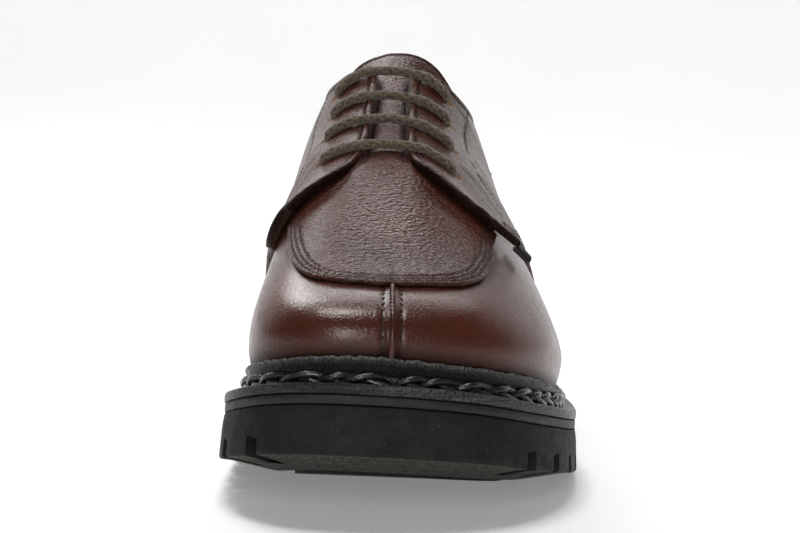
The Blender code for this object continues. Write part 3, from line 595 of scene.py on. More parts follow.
# Braid along the foot of the welt's upstand
BRAID_PITCH = 10.0 * MM
BRAID_STRANDS = 3
BRAID_RADIUS = 1.15 * MM
BRAID_HALF_HEIGHT = 1.55 * MM
BRAID_HALF_DEPTH = 0.75 * MM
BRAID_MIDDLE = 2.6 * MM
BRAID_LOW, BRAID_HIGH = 0.9 * MM, 0.25 * MM
BRAID_STAND = 0.25 * MM
BRAID_ROWS = 1300
BRAID_SIDES = 8
STRIP_INNER = WALL + 0.75 * MM
STRIP_OUTER = WALL + GAP + WELT_THICK

# Tag at the tip of the lateral lip: ends along the shoe, top, hang below it, lifts of tip and root
TAG_START, TAG_END = 0.256, 0.268
TAG_TOP = 0.630
TAG_HANG = 0.045
TAG_LIFTS = (5.45 * MM, 4.85 * MM)
TAG_HALF = 1.1 * MM
TAG_STEPS = 15

# Side notches: the first one's distance from the toe on either side, pitch, width, height, and the
# narrowing at the roof; those past HEEL_FROM along are the heel's
NOTCH_STARTS = {1.0: 47.5 * MM, -1.0: 41.3 * MM}
NOTCH_PITCH = 17.0 * MM
NOTCH_WIDTH = 5.4 * MM
NOTCH_HEIGHT = 5.4 * MM
NOTCH_ROOF = 0.85
HEEL_FROM = 0.6

RING_ROWS = 360
SHARP_ANGLE = 50.0
MERGE = 2e-6


# Mesh helpers

def point_numbers(rows, columns, start=0):
    return start + np.arange(rows * columns).reshape(rows, columns)


def quads(numbers):
    """Faces of a grid of point numbers."""
    corners = (numbers[:-1, :-1], numbers[1:, :-1], numbers[1:, 1:], numbers[:-1, 1:])
    return np.stack(corners, axis=-1).reshape(-1, 4)


def tidy_mesh(mesh):
    """Points that coincide become one, and every face looks outwards."""
    work = bmesh.new()
    work.from_mesh(mesh)
    bmesh.ops.remove_doubles(work, verts=work.verts, dist=MERGE)
    bmesh.ops.dissolve_degenerate(work, edges=work.edges, dist=MERGE / 4)
    bmesh.ops.recalc_face_normals(work, faces=work.faces)
    work.to_mesh(mesh)
    work.free()


def add_object(name, points, faces, finishes):
    """A new mesh in the scene."""
    mesh = bpy.data.meshes.new(name)
    mesh.from_pydata(np.asarray(points).tolist(), [], faces)
    for finish in finishes:
        mesh.materials.append(finish)
    obj = bpy.data.objects.new(name, mesh)
    bpy.context.scene.collection.objects.link(obj)
    return obj


def make_piece(name, points, faces, finishes, replaces=(), which=None, marks=None, sharp=None):
    """A mesh that rides on the shoe, with named point values for its shader."""
    obj = add_object(name, points, faces, finishes)
    mesh = obj.data
    if which is not None:
        mesh.polygons.foreach_set("material_index", np.asarray(which, dtype=np.int32))
    for mark, values in (marks or {}).items():
        layer = mesh.attributes.new(mark, "FLOAT", "POINT")
        layer.data.foreach_set("value", np.ravel(values).astype(np.float32))
    tidy_mesh(mesh)
    mesh.shade_smooth()
    if sharp is not None:
        mesh.set_sharp_from_angle(angle=math.radians(sharp))
    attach(obj, "root")
    if replaces:
        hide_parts(*replaces)
    return obj


def shell(name, outer, inner, rims, finishes, replaces, marks):
    """A closed skin: an outer grid, an inner grid, and a rim along the given paths of the outer one."""
    rows, columns = outer.shape[:2]
    count = rows * columns
    top = point_numbers(rows, columns)
    over, under = quads(top), quads(top + count)[:, ::-1]
    edges = []
    for path in rims(top):
        edges.append(np.stack([path[:-1], path[1:], path[1:] + count, path[:-1] + count], axis=-1))
    edges = np.concatenate(edges)
    points = np.concatenate([outer.reshape(-1, 3), inner.reshape(-1, 3)])
    which = np.concatenate([np.zeros(len(over)), np.ones(len(under)), np.zeros(len(edges))])
    both = {key: np.concatenate([np.ravel(value)] * 2) for key, value in marks.items()}
    faces = np.concatenate([over, under, edges]).tolist()
    return make_piece(name, points, faces, finishes, replaces, which, both)


def whole_rim(top):
    """The border of a grid of point numbers, once round."""
    return (np.concatenate([top[0], top[1:, -1], top[-1, -2::-1], top[-2::-1, 0]]),)


def loops_piece(name, loops, finish, replaces, ring=False, skip=0, marks=None):
    """A solid from closed loops: a ring round its own section, or a stack with caps across it."""
    numbers = point_numbers(len(loops), len(loops[0]))
    around = np.concatenate([numbers, numbers[:, :1]], axis=1)
    if ring:
        around = np.concatenate([around, around[:1]])
    faces = quads(around).tolist()
    if not ring:
        faces += ladder(numbers[0], skip) + ladder(numbers[-1], skip)
    points = np.concatenate(loops)
    return make_piece(name, points, faces, [finish], replaces, marks=marks, sharp=SHARP_ANGLE)


def ladder(loop, skip):
    """Strips across a loop whose sides mirror each other; skip is 1 where it starts beside the mirror line."""
    count = len(loop)
    faces = []
    for i in range(count // 2):
        far = count - skip - i
        face = (loop[i], loop[i + 1], loop[(far - 1) % count], loop[far % count])
        faces.append(list(dict.fromkeys(int(number) for number in face)))
    return faces


# Places and distances on the leather

def side_rows(*stretches):
    """Places from 0 along one side, as (end of the stretch, rows in it)."""
    rows, start = [0.0], 0.0
    for end, count in stretches:
        rows.extend(np.linspace(start, end, count + 1)[1:])
        start = end
    return np.array(rows)


def both_sides(side):
    return np.concatenate([-side[::-1], side[1:]])


def ring_places(rows=RING_ROWS):
    """Places round the shoe: toe, lateral side, heel, medial side."""
    lateral = np.linspace(0, 1, rows, endpoint=False)
    return np.concatenate([lateral, -np.linspace(1, 0, rows, endpoint=False)])


def span_up(along, up):
    """Metres of leather for one unit of up."""
    small = 1e-3
    step = last(along, up + small) - last(along, up - small)
    return np.linalg.norm(step, axis=-1) / (2 * small)


def span_along(along, up):
    """Metres of leather for one unit of along."""
    small = 1e-3
    step = last(along + small, up) - last(along - small, up)
    return np.linalg.norm(step, axis=-1) / (2 * small)


def edge_scale(along):
    """Units of up for one mm across the edge, more where the edge climbs steeply."""
    small = 2e-3
    up = edge_up(along)
    tall, wide = span_up(along, up), span_along(along, up)
    slope = (edge_up(along + small) - edge_up(along - small)) / (2 * small) * tall / wide
    return np.minimum(np.hypot(1.0, slope), STEEPEST) * MM / tall


def beside(along, up, inset):
    """A path on the leather, moved to its left by inset."""
    wide, tall = span_along(along, up), span_up(along, up)
    ahead, climb = np.gradient(along) * wide, np.gradient(up) * tall
    length = np.hypot(ahead, climb)
    return along - climb / length * inset / wide, up + ahead / length * inset / tall


def strip_columns():
    """Insets in mm across the fine strip at an edge, and the share of the thickness at each."""
    inset = [row[0] for row in EDGE_PROFILE]
    share = [row[1] for row in EDGE_PROFILE]
    more = np.arange(inset[-1] + STRIP_STEP, STRIP_WIDTH + 0.01, STRIP_STEP)
    return np.concatenate([inset, more]), np.concatenate([share, np.ones(len(more))])


def near(value, width):
    """1 at nought, falling softly to 0 past the width."""
    return np.exp(-((np.asarray(value) / width) ** 2))


def shade(distance, burnish_and_shade):
    """Painted shade of a given strength that fades with the distance from a line."""
    strength, reach = burnish_and_shade
    return strength * near(np.maximum(distance, 0), reach)


def groove(inset, rows):
    """The dip that rows of stitches pull into the leather, in metres."""
    dip = 0.0
    for row in rows:
        dip = dip + near(inset - row, GROOVE_WIDTH)
    return -GROOVE_DEPTH * dip


def low_wall(along, below):
    """The share of the wall this far below the welt's top, read from a fine table."""
    places = np.linspace(-1, 1, 241)
    return np.interp(along, places, up_at_height(places, upstand(np.abs(places)) - below))


def over_upstand(along, up):
    """Metres over the top of the welt's upstand."""
    return last(along, up)[..., 2] - ledge(wide_y(along)) - upstand(np.abs(along))


def welt_reach(along):
    """How far the welt reaches past the last."""
    return welt_overhang(along) + WALL


def sole_loop(along, reach, height):
    x, y = outline(along, reach)
    return stack(x, y, height(y))


def midsole_top(y):
    return ledge(y) - WELT_FLANGE - SEAT_GAP


def rubber_top(y):
    return midsole_top(y) - MIDSOLE_THICK - SEAT_GAP


def smooth_path(points, count):
    """A smooth curve through points, at even steps of its length."""
    points = np.asarray(points, float)
    before = np.concatenate([2 * points[:1] - points[1:2], points[:-1]])
    after = np.concatenate([points[1:], 2 * points[-1:] - points[-2:-1]])
    slope = (after - before) / 2
    t = np.linspace(0, 1, 24, endpoint=False)[:, None]
    runs = []
    for i in range(len(points) - 1):
        ends = (1 + 2 * t) * (1 - t) ** 2 * points[i] + t**2 * (3 - 2 * t) * points[i + 1]
        runs.append(ends + t * (1 - t) ** 2 * slope[i] - t**2 * (1 - t) * slope[i + 1])
    return even_path(np.concatenate(runs + [points[-1:]]), count)


def walked_way(points):
    return np.append(0.0, np.cumsum(np.linalg.norm(np.diff(points, axis=0), axis=1)))


def even_path(points, count):
    walked = walked_way(points[:, :3])
    at = np.linspace(0, walked[-1], count)
    return np.stack([np.interp(at, walked, points[:, k]) for k in range(points.shape[1])], axis=-1)


def nearest(points, path):
    """Distance of each point to a path of close points."""
    flat = points.reshape(-1, 3)
    found = np.full(len(flat), np.inf)
    for start in range(0, len(flat), 4000):
        part = flat[start:start + 4000]
        found[start:start + 4000] = np.linalg.norm(part[:, None] - path[None], axis=-1).min(axis=1)
    return found.reshape(points.shape[:-1])


# Rows of small stitches, kept as arrays and joined into one mesh

STITCH_RINGS = 6
STITCH_SIDES = 6


class Stitches:
    """A growing mesh of thread stitches."""

    def __init__(self):
        self.points = []

    def add(self, centres, tangents, normals):
        across = np.cross(tangents, normals)
        across /= np.linalg.norm(across, axis=-1, keepdims=True)
        turn = np.linspace(0, math.pi, STITCH_RINGS + 2)[1:-1]
        reach, girth = -np.cos(turn), np.sin(turn) ** 0.6
        around = np.linspace(0, 2 * math.pi, STITCH_SIDES, endpoint=False)
        made = np.zeros((len(centres), STITCH_RINGS, STITCH_SIDES, 3)) + centres[:, None, None]
        made += tangents[:, None, None] * reach[None, :, None, None] * STITCH_LENGTH / 2
        side = np.cos(around)[None, None, :, None] * normals[:, None, None]
        side = side + np.sin(around)[None, None, :, None] * across[:, None, None]
        self.points.append(made + side * girth[None, :, None, None] * STITCH_RADIUS)

    def row(self, along, up, lift, pitch=STITCH_PITCH, lean=0.0):
        """Stitches at an even pitch along a path on the leather, each turned by lean from the path."""
        path = raised(along, up, lift)
        count = max(2, int(round(walked_way(path)[-1] / pitch)) * 2 + 1)
        both = even_path(np.concatenate([path, last_normal(along, up)], axis=1), count)
        centres, out = both[1:-1:2, :3], both[1:-1:2, 3:]
        tangents = both[2::2, :3] - both[:-2:2, :3]
        out = out / np.linalg.norm(out, axis=-1, keepdims=True)
        tangents -= (tangents * out).sum(-1, keepdims=True) * out
        tangents /= np.linalg.norm(tangents, axis=-1, keepdims=True)
        tangents = tangents * math.cos(lean) + np.cross(out, tangents) * math.sin(lean)
        self.add(centres, tangents, out)

    def join(self, name, finish):
        points = np.concatenate(self.points)
        each = STITCH_RINGS * STITCH_SIDES
        ring = point_numbers(STITCH_RINGS, STITCH_SIDES)
        ring = np.concatenate([ring, ring[:, :1]], axis=1)
        start = np.arange(len(points))[:, None, None] * each
        walls = (quads(ring)[None] + start).reshape(-1, 4).tolist()
        caps = np.stack([ring[0, :-1], ring[-1, :-1][::-1]])
        caps = (caps[None] + start).reshape(-1, STITCH_SIDES).tolist()
        obj = add_object(name, points.reshape(-1, 3), walls + caps, [finish])
        obj.data.shade_smooth()
        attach(obj, "root")


def tube(path, across, radius, sides, relief=None):
    """Points of a tube along a path, with its first side towards across."""
    tangent = np.gradient(path, axis=0)
    tangent /= np.linalg.norm(tangent, axis=1, keepdims=True)
    first = across - (across * tangent).sum(1, keepdims=True) * tangent
    first /= np.linalg.norm(first, axis=1, keepdims=True)
    second = np.cross(tangent, first)
    turn = np.linspace(0, 2 * math.pi, sides, endpoint=False)
    size = radius * np.ones((len(path), sides))
    if relief is not None:
        size = size + relief(turn[None, :], walked_way(path)[:, None])
    ring = np.cos(turn)[None, :, None] * first[:, None] + np.sin(turn)[None, :, None] * second[:, None]
    return path[:, None] + ring * size[..., None]


def tube_faces(rows, sides, start=0, closed=False):
    numbers = point_numbers(rows, sides, start)
    numbers = np.concatenate([numbers, numbers[:, :1]], axis=1)
    if closed:
        numbers = np.concatenate([numbers, numbers[:1]])
    return quads(numbers).tolist()


def capped_tube(rows, sides):
    """Faces of a tube with both ends closed."""
    end = (rows - 1) * sides
    return tube_faces(rows, sides) + [list(range(sides))[::-1], list(range(end, end + sides))]


# Materials

def colour(values):
    return (*values, 1.0)


class Paint:
    """A material in the making: adds nodes to its tree and fills the inputs of its shader."""

    def __init__(self, name):
        self.made = bpy.data.materials.new(name)
        self.made.use_nodes = True
        self.tree = self.made.node_tree

    def fill(self, node, sockets):
        """Links each input to its socket, or sets it where it is a number or a colour."""
        for key, value in sockets.items():
            if isinstance(value, bpy.types.NodeSocket):
                self.tree.links.new(value, node.inputs[key])
            else:
                node.inputs[key].default_value = value

    def node(self, kind, sockets, **settings):
        added = self.tree.nodes.new(kind)
        for key, value in settings.items():
            setattr(added, key, value)
        self.fill(added, sockets)
        return added

    def finish(self, sockets):
        """Fills the shader's own inputs and hands the material over."""
        self.fill(self.tree.nodes["Principled BSDF"], sockets)
        return self.made

    def mix(self, factor, first, second):
        """A blend of two colours, each three values or an earlier blend."""
        first, second = (colour(end) if isinstance(end, tuple) else end for end in (first, second))
        return self.node("ShaderNodeMix", {0: factor, 6: first, 7: second}, data_type="RGBA").outputs[2]

    def times(self, first, second):
        return self.node("ShaderNodeMath", {0: first, 1: second}, operation="MULTIPLY").outputs[0]

    def plus(self, first, second):
        return self.node("ShaderNodeMath", {0: first, 1: second}, operation="ADD").outputs[0]

    def stretched(self, scale, turn=(0.0, 0.0, 0.0)):
        """Places on the shoe in metres, turned and then stretched by a scale for each axis."""
        place = self.node("ShaderNodeTexCoord", {}).outputs["Object"]
        turned = self.node("ShaderNodeMapping", {"Vector": place, "Rotation": turn}).outputs["Vector"]
        return self.node("ShaderNodeMapping", {"Vector": turned, "Scale": scale}).outputs["Vector"]

    def noise(self, scale, detail=3.0, rough=0.55, vector=None):
        vector = vector or self.stretched((1.0, 1.0, 1.0))
        sockets = {"Vector": vector, "Scale": scale, "Detail": detail, "Roughness": rough}
        return self.node("ShaderNodeTexNoise", sockets).outputs["Fac"]

    def streaks(self, stretch, detail, rough, turn=(0.0, 0.0, 0.0)):
        """Noise with its own number of grains per metre for each axis."""
        return self.noise(1.0, detail, rough, self.stretched(stretch, turn))

    def remap(self, value, low, high, start=0.0, end=1.0):
        sockets = {"Value": value, "From Min": low, "From Max": high, "To Min": start, "To Max": end}
        return self.node("ShaderNodeMapRange", sockets).outputs["Result"]

    def patches(self, scale, detail, low, high, start=0.0, end=1.0, rough=0.55):
        """Noise, with what lies between low and high spread from start to end."""
        return self.remap(self.noise(scale, detail, rough), low, high, start, end)

    def bump(self, height, depth, strength, normal=None):
        """The surface's direction with a relief of this depth in mm, over an earlier one."""
        sockets = {"Height": height, "Distance": depth * MM, "Strength": strength}
        if normal is not None:
            sockets["Normal"] = normal
        return self.node("ShaderNodeBump", sockets).outputs["Normal"]

    def mark(self, name):
        """The named point values of a piece."""
        return self.node("ShaderNodeAttribute", {}, attribute_name=name).outputs["Fac"]


# Leathers: deep and light colour, pebbles per metre, relief of pebbles and creases in mm, stretch and
# turn of the creases, roughness and coat
TOE_LEATHER = dict(
    dark=(0.056, 0.0140, 0.0080), light=(0.094, 0.0250, 0.0150), pebbles=1500.0, pebble=0.14, crease=0.05,
    stretch=(900.0, 1100.0, 1000.0), turn=(0.0, 0.0, 0.0), roughness=0.29, coat=0.26,
)
APRON_LEATHER = dict(
    dark=(0.046, 0.0118, 0.0070), light=(0.088, 0.0235, 0.0145), pebbles=900.0, pebble=0.85, crease=0.80,
    stretch=(620.0, 1150.0, 950.0), turn=(0.0, 0.0, 0.0), roughness=0.23, coat=0.12,
)
QUARTER_LEATHER = dict(
    dark=(0.044, 0.0112, 0.0066), light=(0.084, 0.0222, 0.0135), pebbles=950.0, pebble=0.40, crease=0.55,
    stretch=(640.0, 1250.0, 1000.0), turn=(0.0, 0.6, 0.0), roughness=0.24, coat=0.10,
)
PEBBLE_STRETCH = (0.85, 1.25, 1.0)

# What the full mark of burnished edges and painted shade does to a leather: share of the dark colour left,
# roughness added, gloss without and with it
BURNISH_AND_SHADE_SHARE = 0.10
BURNISH_AND_SHADE_ROUGHNESS = 0.25
GLOSS, BURNISH_AND_SHADE_GLOSS = 0.34, 0.06
COAT_ROUGHNESS = 0.24
GLOSS_TINT = (1.0, 0.84, 0.78)

# Fine level lines of a sanded or dressed edge, in grains per metre
LEVEL_LINES = (25.0, 25.0, 1500.0)


def leather(name, dark, light, pebbles, pebble, crease, stretch, turn, roughness, coat):
    """Grained leather: blotched brown, darker and duller where its mark of burnished edges and painted shade
    is high.
    """
    paint = Paint(name)
    # The mark is high on burnished cut edges and along the stitch rows. It also carries painted shade beside
    # the welt, under the apron's edge, at the toe seam and the apron's top end, along the gaping lip and
    # beside the facings
    wear_and_shade = paint.mark("burnish_and_shade")
    pebble_sockets = {"Vector": paint.stretched(PEBBLE_STRETCH, turn), "Scale": pebbles, "Randomness": 1.0}
    cells = paint.node("ShaderNodeTexVoronoi", pebble_sockets, feature="SMOOTH_F1").outputs["Distance"]
    domes = paint.node("ShaderNodeMath", {0: 1.0, 1: cells}, operation="SUBTRACT").outputs[0]
    base = paint.mix(paint.patches(38.0, 4.0, 0.35, 0.68), dark, light)
    base = paint.mix(paint.times(paint.remap(cells, 0.35, 0.75), 0.45), base, dark)
    base = paint.mix(wear_and_shade, base, tuple(BURNISH_AND_SHADE_SHARE * part for part in dark))
    rough = paint.patches(260.0, 3.0, 0.3, 0.7, roughness - 0.03, roughness + 0.05)
    normal = paint.bump(paint.noise(2600.0, 2.0, 0.5), 0.05, 0.5)
    normal = paint.bump(paint.streaks(stretch, 4.0, 0.6, turn), crease, 0.9, normal)
    return paint.finish({
        "Base Color": base,
        "Roughness": paint.plus(rough, paint.times(wear_and_shade, BURNISH_AND_SHADE_ROUGHNESS)),
        "Normal": paint.bump(domes, pebble, 0.9, normal),
        "Coat Weight": paint.remap(wear_and_shade, 0.0, 1.0, coat, 0.0),
        "Coat Roughness": COAT_ROUGHNESS,
        "Specular IOR Level": paint.remap(wear_and_shade, 0.0, 1.0, GLOSS, BURNISH_AND_SHADE_GLOSS),
        "Specular Tint": colour(GLOSS_TINT),
    })


def black_welt_leather():
    """Dyed black leather: satin, faintly streaked, grey at its frayed top and at its sanded rim."""
    paint = Paint("black_welt_leather")
    fibres = paint.streaks((1300.0, 1300.0, 260.0), 4.0, 0.65)
    grains = paint.patches(1900.0, 3.0, 0.36, 0.62)
    lines = paint.remap(paint.streaks(LEVEL_LINES, 2.0, 0.5), 0.36, 0.64)
    dust = paint.times(grains, paint.plus(lines, 0.35))
    sanded = paint.mix(dust, (0.010, 0.0105, 0.010), (0.085, 0.088, 0.085))
    patchy = paint.patches(22.0, 2.0, 0.36, 0.60, 0.35, 1.0)
    cloud = paint.patches(160.0, 4.0, 0.3, 0.75)
    base = paint.mix(cloud, (0.0030, 0.0033, 0.0030), (0.0085, 0.0090, 0.0083))
    base = paint.mix(paint.times(paint.remap(fibres, 0.55, 0.78), 0.3), base, (0.055, 0.058, 0.055))
    base = paint.mix(paint.times(paint.mark("rim"), patchy), base, sanded)
    base = paint.mix(paint.times(paint.mark("fray"), grains), base, (0.15, 0.155, 0.145))
    return paint.finish({
        "Base Color": base,
        "Roughness": paint.patches(420.0, 3.0, 0.3, 0.7, 0.22, 0.40),
        "Specular IOR Level": 0.15,
        "Normal": paint.bump(fibres, 0.30, 0.9, paint.bump(grains, 0.14, 0.9)),
    })


def braid_thread():
    """Thick waxed thread: black, glossy, with twisted fibres."""
    paint = Paint("black_waxed_thread")
    return paint.finish({
        "Base Color": colour((0.0035, 0.0035, 0.0035)),
        "Coat Weight": 0.5,
        "Coat Roughness": 0.14,
        "Roughness": paint.patches(700.0, 3.0, 0.3, 0.7, 0.20, 0.40),
        "Normal": paint.bump(paint.streaks((500.0, 500.0, 2200.0), 3.0, 0.6), 0.5, 0.9),
    })


def black_rubber():
    """Matte rubber with a moulded grain, greyer and rougher on its underside, from wear."""
    paint = Paint("black_sole_rubber")
    facing = paint.node("ShaderNodeNewGeometry", {}).outputs["Normal"]
    below = paint.remap(paint.node("ShaderNodeSeparateXYZ", {"Vector": facing}).outputs["Z"], -0.6, -0.85)
    crumbs = paint.patches(900.0, 4.0, 0.42, 0.66, rough=0.7)
    wear_and_shade = paint.mix(crumbs, (0.016, 0.015, 0.0125), (0.095, 0.088, 0.072))
    side = paint.mix(paint.patches(90.0, 4.0, 0.3, 0.75), (0.0065, 0.0065, 0.006), (0.0125, 0.0125, 0.011))
    side = paint.mix(paint.times(paint.patches(1500.0, 1.0, 0.72, 0.77), 0.5), side, (0.10, 0.10, 0.09))
    grain = paint.bump(paint.noise(3000.0, 2.0), 0.05, 0.6)
    return paint.finish({
        "Base Color": paint.mix(below, side, wear_and_shade),
        "Roughness": paint.patches(300.0, 3.0, 0.3, 0.7, 0.58, 0.80),
        "Specular IOR Level": 0.22,
        "Normal": paint.bump(paint.times(crumbs, below), 0.35, 0.9, grain),
    })


def edge_dressing():
    """The dressed edge of the midsole: plain black with fine level lines."""
    paint = Paint("dressed_edge")
    grain = paint.patches(1400.0, 4.0, 0.34, 0.70, rough=0.7)
    lines = paint.streaks(LEVEL_LINES, 2.0, 0.5)
    return paint.finish({
        "Base Color": paint.mix(grain, (0.0045, 0.0048, 0.0045), (0.012, 0.0125, 0.012)),
        "Roughness": paint.patches(420.0, 3.0, 0.3, 0.7, 0.44, 0.64),
        "Specular IOR Level": 0.35,
        "Normal": paint.bump(lines, 0.08, 0.8, paint.bump(grain, 0.06, 0.8)),
    })


def lining_leather():
    """Plain tan lining with fine pores."""
    paint = Paint("tan_lining_leather")
    cloud = paint.patches(70.0, 4.0, 0.3, 0.7)
    return paint.finish({
        "Base Color": paint.mix(cloud, (0.30, 0.17, 0.085), (0.42, 0.26, 0.145)),
        "Roughness": paint.patches(500.0, 3.0, 0.3, 0.7, 0.5, 0.7),
        "Normal": paint.bump(paint.noise(1700.0, 3.0), 0.10, 0.7),
    })


def lace_cord():
    """Round waxed cotton cord, dark brown, with frayed fibres and painted shade between its strands."""
    paint = Paint("brown_waxed_cord")
    cloud = paint.patches(1500.0, 4.0, 0.36, 0.66, rough=0.7)
    base = paint.mix(cloud, (0.045, 0.032, 0.022), (0.215, 0.162, 0.115))
    return paint.finish({
        "Base Color": paint.mix(paint.mark("gap"), base, (0.012, 0.009, 0.0065)),
        "Roughness": 0.8,
        "Specular IOR Level": 0.25,
        "Sheen Weight": 0.3,
        "Sheen Roughness": 0.5,
        "Normal": paint.bump(paint.noise(3800.0, 3.0, 0.65), 0.22, 0.9),
    })


def stitch_thread():
    """Fine dark brown sewing thread."""
    paint = Paint("brown_thread")
    cloud = paint.patches(600.0, 2.0, 0.3, 0.7)
    return paint.finish({
        "Base Color": paint.mix(cloud, (0.006, 0.004, 0.0035), (0.018, 0.009, 0.007)),
        "Roughness": 0.6,
        "Normal": paint.bump(paint.noise(4200.0, 2.0), 0.06, 0.7),
    })


def tag_fabric():
    """Plain dark woven tape."""
    paint = Paint("dark_tape")
    sockets = {"Vector": paint.stretched((1.0, 1.0, 1.0)), "Scale": 420.0, "Distortion": 0.6, "Detail": 1.0}
    weft = paint.node("ShaderNodeTexWave", sockets, bands_direction="DIAGONAL").outputs["Fac"]
    return paint.finish({
        "Base Color": paint.mix(weft, (0.005, 0.005, 0.0045), (0.02, 0.019, 0.017)),
        "Roughness": 0.8,
        "Normal": paint.bump(weft, 0.12, 0.8),
    })


def pale_floor():
    """A pale floor that glows a little, with a wall that is dark but for its back."""
    paint = Paint("pale_floor")
    place = paint.stretched((1.0, 1.0, 1.0))
    back = paint.node("ShaderNodeSeparateXYZ", {"Vector": place}).outputs["Y"]
    away = paint.node("ShaderNodeVectorMath", {0: place}, operation="LENGTH").outputs["Value"]
    dark = paint.times(paint.remap(back, 2.0, 1.0), paint.remap(away, 2.2, 2.8))
    tone = paint.mix(paint.patches(3.0, 2.0, 0.3, 0.7), (0.86, 0.86, 0.86), (0.88, 0.88, 0.88))
    return paint.finish({
        "Base Color": paint.mix(dark, tone, (0.22, 0.22, 0.22)),
        "Emission Color": colour((1.0, 1.0, 1.0)),
        "Emission Strength": paint.remap(dark, 0.0, 1.0, FLOOR_GLOW, 0.0),
        "Roughness": 0.9,
        "Specular IOR Level": 0.1,
    })


# Leather pieces

def seam_across(along, up):
    """Metres from the toe seam across the leather."""
    return along * span_along(0.0, up)


def toe_relief(along, up):
    """The skirt swells to the toe seam and dips beside it."""
    across = seam_across(along, up)
    swell = SEAM_SWELL * near(across, SEAM_RIDGE)
    dip = SEAM_DIP * near(np.abs(across) - SEAM_SIDE, SEAM_DIP_WIDTH)
    return np.where(np.abs(along) < TOE_NEAR, swell - dip, 0.0)


def make_upper(skirt, lining):
    ring = both_sides(side_rows((0.03, 24), (0.40, 112), (1.0, 110)))
    shares = np.linspace(0, 1, 46)
    vamp = np.linspace(0, 1, 10)[1:]
    edge = edge_up(ring)[:, None]
    on_vamp = np.abs(ring) <= THROAT_ALONG
    up = np.concatenate([edge * shares, edge + np.where(on_vamp[:, None], 1 - edge, 0.0) * vamp], axis=1)
    along = np.repeat(ring[:, None], up.shape[1], axis=1)
    outer = raised(along, up, WALL + toe_relief(along, up))
    inner = raised(along, up, 0.0)
    below_edge = (edge - up) * span_up(along, edge * np.ones_like(up))
    # Painted shade over the welt and at the toe seam, and a painted shadow under the apron's edge
    burnish_and_shade = shade(over_upstand(along, up), WELT_PAINTED_SHADE) + shade(below_edge, APRON_EDGE_PAINTED_SHADOW)
    burnish_and_shade += shade(np.abs(seam_across(along, up)), TOE_SEAM_PAINTED_SHADE) * (np.abs(along) < TOE_NEAR)
    rows = np.flatnonzero(on_vamp)

    def rims(top):
        return top[:, 0], top[: rows[0] + 1, -1], top[rows[-1]:, -1]

    marks = {"burnish_and_shade": np.clip(burnish_and_shade, 0, 0.9)}
    return shell("upper_skin", outer, inner, rims, [skirt, lining], ["upper"], marks)


def apron_lift(inset):
    """The apron's top over the upper, by its inset from the edge in mm."""
    crown = APRON_CROWN * (1 - np.exp(-np.asarray(inset) / APRON_CROWN_REACH))
    return WALL + UNDER + APRON_FULL + crown + groove(inset, APRON_ROWS)


def apron_start(along):
    """Where the apron's edge lies: past the quarter's front it runs on under the gaping lip."""
    place = np.abs(along)
    edge = edge_up(along)
    tail = edge_up(np.sign(along) * np.minimum(place, APRON_TAIL_FROM))
    gape = smooth_step((LIP_END_ALONG - place) / (LIP_END_ALONG - LIP_FULL_ALONG))
    return np.minimum(edge, np.maximum(tail, edge - APRON_TUCK - APRON_UNDERLAP * gape))


def make_apron(finish, stitches):
    ring = both_sides(side_rows((0.03, 16), (APRON_END - APRON_END_FINE, 132), (APRON_END, 8)))
    inset, share = strip_columns()
    start = apron_start(ring)[:, None]
    span = span_up(ring, start[:, 0])[:, None]
    squeeze = np.minimum(1.0, 0.6 * (1 - start) * span / (STRIP_WIDTH * MM))
    strip = start + inset * MM * squeeze / span
    rest = np.linspace(0, 1, 26)[1:]
    body = strip[:, -1:] + (1 - strip[:, -1:]) * rest
    up = np.concatenate([strip, body], axis=1)
    along = np.repeat(ring[:, None], up.shape[1], axis=1)
    height = np.concatenate([share, np.ones(len(rest))])
    further = inset[-1] + (body - strip[:, -1:]) * span_up(along[:, len(inset):], body) / MM
    insets = np.concatenate([np.repeat(inset[None], len(ring), axis=0), further], axis=1)
    to_end = (APRON_END - np.abs(along)) * span_along(ring, 0.98)[:, None] / MM
    round_end = np.sqrt(np.clip(1 - (1 - np.clip(to_end / APRON_END_ROUND, 0, 1)) ** 2, 0, 1))
    round_end = APRON_END_LEFT + (1 - APRON_END_LEFT) * round_end
    outer = raised(along, up, WALL + UNDER + (apron_lift(insets) - WALL - UNDER) * height * round_end)
    inner = raised(along, up, WALL + UNDER / 2)
    # Darker cut edge and stitch rows, and a painted shadow over the apron's top end where it runs under the
    # last lace
    burnish_and_shade = 0.9 * (1 - height)[None] + 0.95 * near(to_end, APRON_END_SHADE)
    burnish_and_shade = burnish_and_shade + 0.25 * near(insets - 0.6, 0.5) * (height > 0.99)
    for row in APRON_ROWS:
        burnish_and_shade = burnish_and_shade + 0.35 * near(insets - row, 0.35)

    def rims(top):
        return top[0, ::-1], top[:, 0], top[-1]

    marks = {"burnish_and_shade": np.clip(burnish_and_shade, 0, 0.95)}
    shell("apron_skin", outer, inner, rims, [finish, finish], ["apron"], marks)
    places = both_sides(np.linspace(0, APRON_SEAM_END, 220))
    start = apron_start(places)
    for row in APRON_ROWS:
        stitches.row(places, start + row * MM / span_up(places, start), apron_lift(row) + APRON_THREAD)


def roll(inset):
    """The folded edge that stands up outside its row of stitches."""
    return ROLL_RISE * near(inset - ROLL_MIDDLE, ROLL_WIDTH)


def facing_seam(sign):
    """Path of the facing's outer stitch line, as along and up."""
    line = smooth_path(SEAM_LATERAL if sign > 0 else SEAM_MEDIAL, 160)
    return sign * line[:, 0], line[:, 1]


